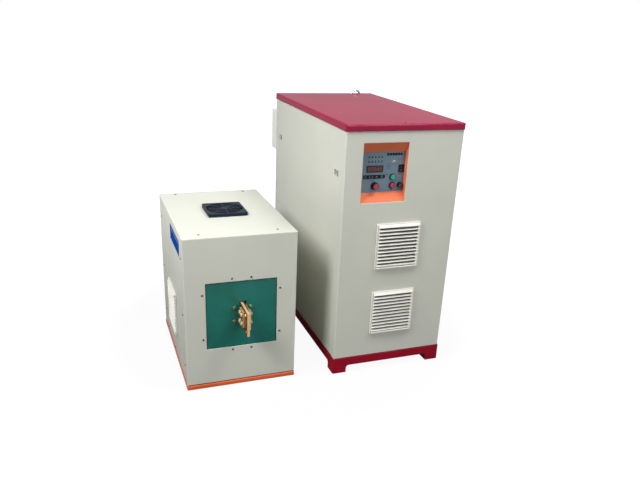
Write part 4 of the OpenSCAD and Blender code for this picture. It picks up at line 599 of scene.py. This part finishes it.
def screw_tree(finish):
    """Pan-head screws with a cross recess, one on each seat face and turned with it."""
    tree, given = tree_with("pan_head_screws", SCREW_SIZES)
    ball = add(tree, "GeometryNodeMeshUVSphere", {"Segments": 24, "Rings": 12, "Radius": 1.0})
    head_size = add(tree, "ShaderNodeCombineXYZ", {
        "X": given["Head Radius"], "Y": given["Head Radius"], "Z": given["Head Height"]})
    dome = add(tree, "GeometryNodeTransform", {
        "Geometry": ball.outputs["Mesh"], "Scale": head_size.outputs["Vector"]})
    # What the dome shares with a block that stands on the seat is flat at the seat
    side = add(tree, "ShaderNodeMath", {0: given["Head Radius"], 1: 3.0}, operation="MULTIPLY").outputs[0]
    block_size = add(tree, "ShaderNodeCombineXYZ", {"X": side, "Y": side, "Z": side})
    block = add(tree, "GeometryNodeMeshCube", {"Size": block_size.outputs["Vector"]})
    lift = add(tree, "ShaderNodeMath", {0: side, 1: 0.5}, operation="MULTIPLY").outputs[0]
    block_place = add(tree, "ShaderNodeCombineXYZ", {"Z": lift})
    upper = add(tree, "GeometryNodeTransform", {
        "Geometry": block.outputs["Mesh"], "Translation": block_place.outputs["Vector"]})
    cap = add(tree, "GeometryNodeMeshBoolean", {
        "Mesh 2": [dome.outputs["Geometry"], upper.outputs["Geometry"]]}, operation="INTERSECT")
    bar_size = add(tree, "ShaderNodeCombineXYZ", {
        "X": given["Recess Length"], "Y": given["Recess Width"], "Z": given["Head Height"]})
    bar = add(tree, "GeometryNodeMeshCube", {"Size": bar_size.outputs["Vector"]})
    rise = add(tree, "ShaderNodeCombineXYZ", {"Z": given["Head Height"]})
    cross = [add(tree, "GeometryNodeTransform", {
        "Geometry": bar.outputs["Mesh"], "Translation": rise.outputs["Vector"],
        "Rotation": (0, 0, turn)}).outputs["Geometry"] for turn in (0.0, math.pi / 2)]
    head = add(tree, "GeometryNodeMeshBoolean", {
        "Mesh 1": cap.outputs["Mesh"], "Mesh 2": cross}, operation="DIFFERENCE")
    normal = add(tree, "GeometryNodeInputNormal", {})
    aim = add(tree, "FunctionNodeAlignRotationToVector", {"Vector": normal.outputs["Normal"]}, axis="Z")
    capture = add(tree, "GeometryNodeCaptureAttribute", {"Geometry": given["Geometry"]}, domain="FACE")
    capture.capture_items.new("ROTATION", "Aim")
    tree.links.new(aim.outputs["Rotation"], capture.inputs["Aim"])
    points = add(tree, "GeometryNodeMeshToPoints", {"Mesh": capture.outputs["Geometry"]}, mode="FACES")
    heads = add(tree, "GeometryNodeInstanceOnPoints", {
        "Points": points.outputs["Points"], "Instance": head.outputs["Mesh"],
        "Rotation": capture.outputs["Aim"]})
    real = add(tree, "GeometryNodeRealizeInstances", {"Geometry": heads.outputs["Instances"]})
    dressed(tree, real.outputs["Geometry"], finish)
    return tree


def screw_seats():
    """Seats of every casing screw, read from the CAD screws: the middle and outward face of each."""
    turn_step = 0.35
    places = []
    for group in islands("casing_screws"):
        low, high = corners_of(group)
        size = high - low
        middle = (low + high) / 2
        axis = min(range(3), key=lambda i: size[i])

        def reach(end):
            return max((p - middle).length for p in group if abs(p[axis] - end[axis]) < SAME_LEVEL)

        # The seat is the end with the wider ring of points
        out = 1.0 if reach(low) > reach(high) else -1.0
        normal = Vector((0, 0, 0))
        normal[axis] = out
        middle[axis] = low[axis] if out > 0 else high[axis]
        places.append((middle, normal, turn_step * len(places)))
    return places


screws = grown("casing_screw_heads", screw_tree(screw_steel), seats(screw_seats()), SCREW_SIZES, "machine",
               screw_steel)
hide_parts("casing_screws")


def board_screw_slot_shade():
    """Dark strips across the flat screws on the green board, laid as painted shade where their slots are,
    each turned as its screw was left.
    """
    length_share, width, proud = 0.86, 1.5 * MM, 0.06 * MM
    first_turn, turn_step = 0.15, 0.35
    bm = bmesh.new()
    for i, (low, high) in enumerate(BOARD_SCREWS):
        across, up = turned_by(first_turn + turn_step * i)
        middle = (low + high) / 2
        middle.y = low.y
        slab(bm, middle, across, up, (high.x - low.x) * length_share, width, proud)
    new_piece("board_screw_slot_shade", bm, black, "machine")


board_screw_slot_shade()

# The head's window in millimetres: in from each side, height, and middle above the floor
WINDOW_SIDE = 65.0
WINDOW_H = 222.0
WINDOW_Z = 250.0


def window_edge_shadow():
    """Dark strips just inside the head's window, painted shadow of the panel's edge on the board, half as
    wide along the bottom.
    """
    width, proud = 1.8 * MM, 0.9 * MM
    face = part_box("insulating_board")[0][1]
    left, right = on_head(WINDOW_SIDE, 0, 0).x, on_head(HEAD_W - WINDOW_SIDE, 0, 0).x
    bottom, top = (WINDOW_Z - WINDOW_H / 2) * MM, (WINDOW_Z + WINDOW_H / 2) * MM
    bm = bmesh.new()
    for x in (left + width / 2, right - width / 2):
        slab(bm, Vector((x, face, (bottom + top) / 2)), X, Z, width, top - bottom, proud)
    for z, height in ((top - width / 2, width), (bottom + width / 4, width / 2)):
        slab(bm, Vector(((left + right) / 2, face, z)), X, Z, right - left - 2 * width, height, proud)
    new_piece("window_edge_shadow", bm, black, "machine")


window_edge_shadow()


def foot_shadow_strips():
    """Dark strips, painted shade of the gap where the sheet panels stand on the tray base and on the plinth.
    """
    height, proud, short = 2.0 * MM, 0.12 * MM, 3 * MM
    bm = bmesh.new()
    for front, side in (("head_front_panel", "head_left_panel"), ("front_panel", "left_side_panel")):
        low, high = (Vector(corner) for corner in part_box(front))
        middle = Vector(((low.x + high.x) / 2, low.y, low.z + height / 2))
        slab(bm, middle, X, Z, high.x - low.x - short, height, proud)
        low, high = (Vector(corner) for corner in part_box(side))
        middle = Vector((low.x, (low.y + high.y) / 2, low.z + height / 2))
        slab(bm, middle, -Y, Z, high.y - low.y - short, height, proud)
    new_piece("foot_shadow_strips", bm, black, "machine")


foot_shadow_strips()


def digits():
    """Five unlit seven-segment digits with their points, behind the smoked lens."""
    pitch, width, height, stroke, lean = 9.6, 5.6, 12.0, 1.15, 0.10
    gap_share, point_out, proud = 0.9, 1.4, 0.06 * MM
    # Middle of each segment on its digit, and whether it lies level
    segments = ((0, height / 2, True), (0, 0, True), (0, -height / 2, True),
                (-width / 2, height / 4, False), (width / 2, height / 4, False),
                (-width / 2, -height / 4, False), (width / 2, -height / 4, False))
    middle = on_panel(DISPLAY_SHARES, 1.5)
    bm = bmesh.new()
    for i in range(-2, 3):
        for a, b, level in segments:
            across = X if level else (Z + X * lean).normalized()
            up = Z if level else -X
            up = (up - across * up.dot(across)).normalized()
            length = (width if level else height / 2) - stroke * gap_share
            place = middle + X * (i * pitch + a + b * lean) * MM + Z * b * MM
            slab(bm, place, across, up, length * MM, stroke * MM, proud)
        point = middle + X * (i * pitch + width / 2 + point_out) * MM - Z * height / 2 * MM
        slab(bm, point, X, Z, stroke * MM, stroke * MM, proud)
    new_piece("digit_segments", bm, segment_red, "machine")


digits()


def keypad_symbols():
    """Plain symbols on the membrane keys: a bar, two arrows, a cross and a ring of strokes."""
    key_z = PANEL_Z + KEY_ROW_SHARE * PANEL_H
    foil_out, ink, thin = 0.6, 0.08 * MM, 1.0 * MM
    arrow_rise, arrow_length, arrow_turn = 1.3, 4.2, 0.75
    ring_x, ring_r, ring_strokes = 136, 2.9, 8
    bm = bmesh.new()

    def stroke(x, rise, length, angle):
        across, up = turned_by(angle)
        slab(bm, on_cabinet(x, PANEL_Y - foil_out, key_z + rise), across, up, length * MM, thin, ink)

    for x in (79, 83):
        stroke(x, 0, 6.0, math.pi / 2)
    stroke(81, -2.6, 4.0, 0)
    for x, side in ((94.5, 1), (105, -1)):
        stroke(x, arrow_rise, arrow_length, arrow_turn * side)
        stroke(x, -arrow_rise, arrow_length, -arrow_turn * side)
    for angle in (math.pi / 4, -math.pi / 4):
        stroke(118.5, 0, 7.0, angle)
    for i in range(ring_strokes):
        angle = i * math.tau / ring_strokes
        stroke(ring_x + ring_r * math.cos(angle), ring_r * math.sin(angle), 2.0, angle + math.pi / 2)
    new_piece("keypad_symbols", bm, white_ink, "machine")


keypad_symbols()

DIAL_SIZES = {"Radius": 14.5 * MM, "Length": 1.6 * MM, "Width": 0.6 * MM, "Thickness": 0.12 * MM, "Count": 11}


def dial_tree(finish):
    """Ticks round the knob: short blocks along a radius, spread over three quarters of a circle."""
    tree, given = tree_with("dial_ticks", DIAL_SIZES)
    arc = add(tree, "GeometryNodeCurveArc", {
        "Resolution": given["Count"], "Radius": given["Radius"], "Start Angle": math.radians(-45),
        "Sweep Angle": math.radians(270)})
    points = add(tree, "GeometryNodeCurveToPoints", {"Curve": arc.outputs["Curve"]}, mode="EVALUATED")
    tick_size = add(tree, "ShaderNodeCombineXYZ", {
        "X": given["Width"], "Y": given["Length"], "Z": given["Thickness"]})
    tick = add(tree, "GeometryNodeMeshCube", {"Size": tick_size.outputs["Vector"]})
    place = add(tree, "GeometryNodeInputPosition", {})
    aim = add(tree, "FunctionNodeAlignRotationToVector", {"Vector": place.outputs["Position"]}, axis="Y")
    ticks = add(tree, "GeometryNodeInstanceOnPoints", {
        "Points": points.outputs["Points"], "Instance": tick.outputs["Mesh"],
        "Rotation": aim.outputs["Rotation"]})
    real = add(tree, "GeometryNodeRealizeInstances", {"Geometry": ticks.outputs["Instances"]})
    stood = add(tree, "GeometryNodeTransform", {
        "Geometry": real.outputs["Geometry"], "Translation": on_panel(KNOB_SHARES, 0.06),
        "Rotation": (math.pi / 2, 0, 0)})
    dressed(tree, stood.outputs["Geometry"], finish)
    return tree


grown("dial_ticks", dial_tree(dark_ink), bpy.data.meshes.new("dial_seat"), DIAL_SIZES, "machine",
      dark_ink)


def rocker_marks():
    """A bar and a ring on the rocker's two halves, following its tilted faces."""
    axle_in, rim_out, bulge, bulge_share, float_out = 1.5, 1.3, 0.9, 0.55, 0.02
    half_length, mark_z, rest_tilt = 8.4, 4.6, math.radians(8)
    bar_w, bar_h, ring_r, ring_w, stroke_l, ring_strokes = 0.8, 3.4, 1.5, 0.7, 1.1, 10
    ink = 0.05 * MM
    axle = on_panel(ROCKER_SHARES, -axle_in)
    tilt = Matrix.Rotation(rest_tilt, 3, "X")
    slope = math.atan2(bulge, half_length)
    face_out = (rim_out + axle_in + bulge * bulge_share + float_out) * MM
    bm = bmesh.new()
    face_up = Z * math.cos(slope) - Y * math.sin(slope)
    place = axle + tilt @ Vector((0, -face_out, mark_z * MM))
    slab(bm, place, X, tilt @ face_up, bar_w * MM, bar_h * MM, ink)
    face_up = Z * math.cos(slope) + Y * math.sin(slope)
    centre = Vector((0, -face_out, -mark_z * MM))
    for i in range(ring_strokes):
        angle = i * math.tau / ring_strokes
        along = X * -math.sin(angle) + face_up * math.cos(angle)
        out = X * math.cos(angle) + face_up * math.sin(angle)
        place = axle + tilt @ (centre + out * ring_r * MM)
        slab(bm, place, tilt @ along, tilt @ -out, stroke_l * MM, ring_w * MM, ink)
    new_piece("rocker_marks", bm, white_ink, "rocker")


rocker_marks()


def side_plate():
    """Blue enamelled plate on the head's left side, with a white border and a row of plain blocks."""
    y0, y1, z0, z1 = 62.0, 244.0, 431.0, 480.0
    panel_in, plate_t, line, ink = 1.5, 0.8, 0.9, 0.06
    face_in = panel_in - plate_t
    middle_y, middle_z = (y0 + y1) / 2, (z0 + z1) / 2
    bm = bmesh.new()
    slab(bm, on_head(panel_in, middle_y, middle_z), -Y, Z, (y1 - y0) * MM, (z1 - z0) * MM, plate_t * MM)
    new_piece("side_plate", bm, plate_blue, "machine")
    # Middle and size of each printed block: y, z, width, height
    border_z, border_y, block_pitch = 2.5, 3.0, 17
    blocks = [(middle_y, z, y1 - y0 - 2 * border_y, line) for z in (z0 + border_z, z1 - border_z)]
    blocks += [(y, middle_z, line, z1 - z0 - 2 * border_z) for y in (y0 + border_y, y1 - border_y)]
    blocks += [(y0 + block_pitch * i, z1 - 9.5, 9.5, 5.5) for i in range(1, 10)]
    bm = bmesh.new()
    for y, z, width, height in blocks:
        slab(bm, on_head(face_in, y, z), -Y, Z, width * MM, height * MM, ink * MM)
    new_piece("side_plate_ink", bm, white_ink, "machine")


side_plate()


def socket_insert():
    """Black insulator in the control socket, with a ring of contact pins."""
    insulator_r, insulator_t = 6.4 * MM, 0.7 * MM
    pins, pin_ring, pin_r, pin_turn = 5, 3.4 * MM, 0.75 * MM, 0.3
    centre = on_panel(SOCKET_SHARES, 7.5)
    lying = Matrix.Rotation(math.pi / 2, 4, "X")
    bm = bmesh.new()
    bmesh.ops.create_cone(bm, cap_ends=True, segments=40, radius1=insulator_r, radius2=insulator_r,
                          depth=insulator_t, matrix=Matrix.Translation(centre - Y * insulator_t / 2) @ lying)
    new_piece("socket_insulator", bm, black, "machine")
    bm = bmesh.new()
    for i in range(pins):
        angle = i * math.tau / pins + pin_turn
        spot = centre + X * pin_ring * math.cos(angle) - Y * insulator_t + Z * pin_ring * math.sin(angle)
        bmesh.ops.create_uvsphere(bm, u_segments=12, v_segments=8, radius=pin_r,
                                  matrix=Matrix.Translation(spot))
    new_piece("socket_contacts", bm, brass, "machine")


socket_insert()


# Floor, lamps and camera

WHITE = (1, 1, 1, 1)


def studio_floor():
    """White paper floor: it keeps the units' shadow near them and is plain white further out."""
    shadow_end, white_start = 0.6, 1.7
    # Share of white close to the units, for each kind of ray; reflections there show the shadow
    near_shares = {"Is Camera Ray": 0.75, "Is Transmission Ray": 0.75, "Is Glossy Ray": 0.0}
    floor_mesh = bpy.data.meshes.new("floor")
    bm = bmesh.new()
    bmesh.ops.create_grid(bm, x_segments=1, y_segments=1, size=14.0)
    bm.to_mesh(floor_mesh)
    bm.free()
    floor = bpy.data.objects.new("studio_floor", floor_mesh)
    floor.location = (0, 0, -0.5 * MM)
    bpy.context.scene.collection.objects.link(floor)
    mat = bpy.data.materials.new("studio_floor_paper")
    mat.use_nodes = True
    tree = mat.node_tree
    paper = tree.nodes["Principled BSDF"]
    paper.inputs["Base Color"].default_value = (0.17, 0.17, 0.17, 1)
    paper.inputs["Roughness"].default_value = 0.9
    paper.inputs["Specular IOR Level"].default_value = 0.1
    glow = add(tree, "ShaderNodeEmission", {"Color": WHITE, "Strength": 1.25})
    path = add(tree, "ShaderNodeLightPath", {})
    coords = add(tree, "ShaderNodeTexCoord", {})
    reach = add(tree, "ShaderNodeVectorMath", {0: coords.outputs["Object"]}, operation="LENGTH")
    white_share = 0.0
    for ray, near_share in near_shares.items():
        share = add(tree, "ShaderNodeMapRange", {
            "Value": reach.outputs["Value"], "From Min": shadow_end, "From Max": white_start,
            "To Min": near_share, "To Max": 1.0})
        part = add(tree, "ShaderNodeMath", {0: path.outputs[ray], 1: share.outputs["Result"]},
                   operation="MULTIPLY")
        white_share = add(tree, "ShaderNodeMath", {0: white_share, 1: part.outputs[0]},
                          operation="MAXIMUM").outputs[0]
    mix = add(tree, "ShaderNodeMixShader", {0: white_share, 1: paper.outputs[0], 2: glow.outputs[0]})
    tree.links.new(mix.outputs[0], tree.nodes["Material Output"].inputs["Surface"])
    floor_mesh.materials.append(mat)


def studio_world():
    """White for all that is seen, mirrored or seen through, and dim grey light from above on the rest."""
    world = bpy.data.worlds.new("studio_world")
    bpy.context.scene.world = world
    world.use_nodes = True
    tree = world.node_tree
    coords = add(tree, "ShaderNodeTexCoord", {})
    split = add(tree, "ShaderNodeSeparateXYZ", {0: coords.outputs["Generated"]})
    height = add(tree, "ShaderNodeMapRange", {"Value": split.outputs["Z"], "From Min": -1})
    ramp = add(tree, "ShaderNodeValToRGB", {"Fac": height.outputs["Result"]})
    low, high = ramp.color_ramp.elements
    low.position, low.color = 0.48, (0.055, 0.055, 0.06, 1)
    high.position, high.color = 0.95, (0.27, 0.275, 0.28, 1)
    path = add(tree, "ShaderNodeLightPath", {})
    white_share = 0.0
    for ray in ("Is Camera Ray", "Is Transmission Ray", "Is Glossy Ray"):
        white_share = add(tree, "ShaderNodeMath", {0: white_share, 1: path.outputs[ray]},
                          operation="MAXIMUM").outputs[0]
    mix = add(tree, "ShaderNodeMix", {0: white_share, 6: ramp.outputs["Color"], 7: WHITE}, data_type="RGBA")
    background = tree.nodes["Background"]
    background.inputs["Strength"].default_value = 1.0
    tree.links.new(mix.outputs[2], background.inputs["Color"])


def softbox(name, place, aim, width, height, watts):
    """A rectangular lamp at a place, turned to its aim."""
    data = bpy.data.lights.new(name, "AREA")
    data.shape = "RECTANGLE"
    data.size = width
    data.size_y = height
    data.energy = watts
    lamp = bpy.data.objects.new(name, data)
    lamp.location = place
    lamp.rotation_euler = (Vector(aim) - Vector(place)).to_track_quat("-Z", "Y").to_euler()
    bpy.context.scene.collection.objects.link(lamp)


# The camera of the photograph, solved from the cabinet's edges: focal length and shifts in pixels
PHOTO_W = 640
FOCAL = 642.222
SHIFT_X = -4.164
SHIFT_Y = 43.98
HEADING, PITCH, ROLL = (math.radians(a) for a in (21.357, 23.05, 2.791))
SENSOR = 36
CAMERA_PLACE = on_cabinet(-723.151, -1732.244, 1126.823)


def camera():
    """Camera at the place, turn and shift that the photograph gives."""
    level = Vector((math.sin(HEADING), math.cos(HEADING), 0))
    ahead = level * math.cos(PITCH) - Z * math.sin(PITCH)
    right = Vector((math.cos(HEADING), -math.sin(HEADING), 0))
    up = right.cross(ahead)
    right, up = right * math.cos(ROLL) + up * math.sin(ROLL), up * math.cos(ROLL) - right * math.sin(ROLL)
    data = bpy.data.cameras.new("camera")
    data.sensor_width = SENSOR
    data.lens = FOCAL / PHOTO_W * SENSOR
    data.shift_x = SHIFT_X / PHOTO_W
    data.shift_y = SHIFT_Y / PHOTO_W
    data.clip_start = 0.01
    view = bpy.data.objects.new("camera", data)
    turn = Matrix((right, up, -ahead)).transposed().to_4x4()
    view.matrix_world = Matrix.Translation(CAMERA_PLACE) @ turn
    bpy.context.scene.collection.objects.link(view)
    bpy.context.scene.camera = view


studio_floor()
studio_world()
softbox("top_softbox", (1.1, -0.9, 2.7), (0.1, -0.1, 0.5), width=0.8, height=0.8, watts=35)
softbox("left_softbox", (-1.6, -0.85, 2.0), (-0.05, -0.1, 0.5), width=0.9, height=0.9, watts=50)
softbox("front_softbox", (1.2, -3.6, 1.3), (0, 0, 0.4), width=1.6, height=1.6, watts=36)
softbox("back_softbox", (1.6, 4.2, 1.5), (0.2, 0, 0.8), width=3.2, height=1.4, watts=1)
camera()
bpy.context.scene.view_settings.view_transform = "Standard"
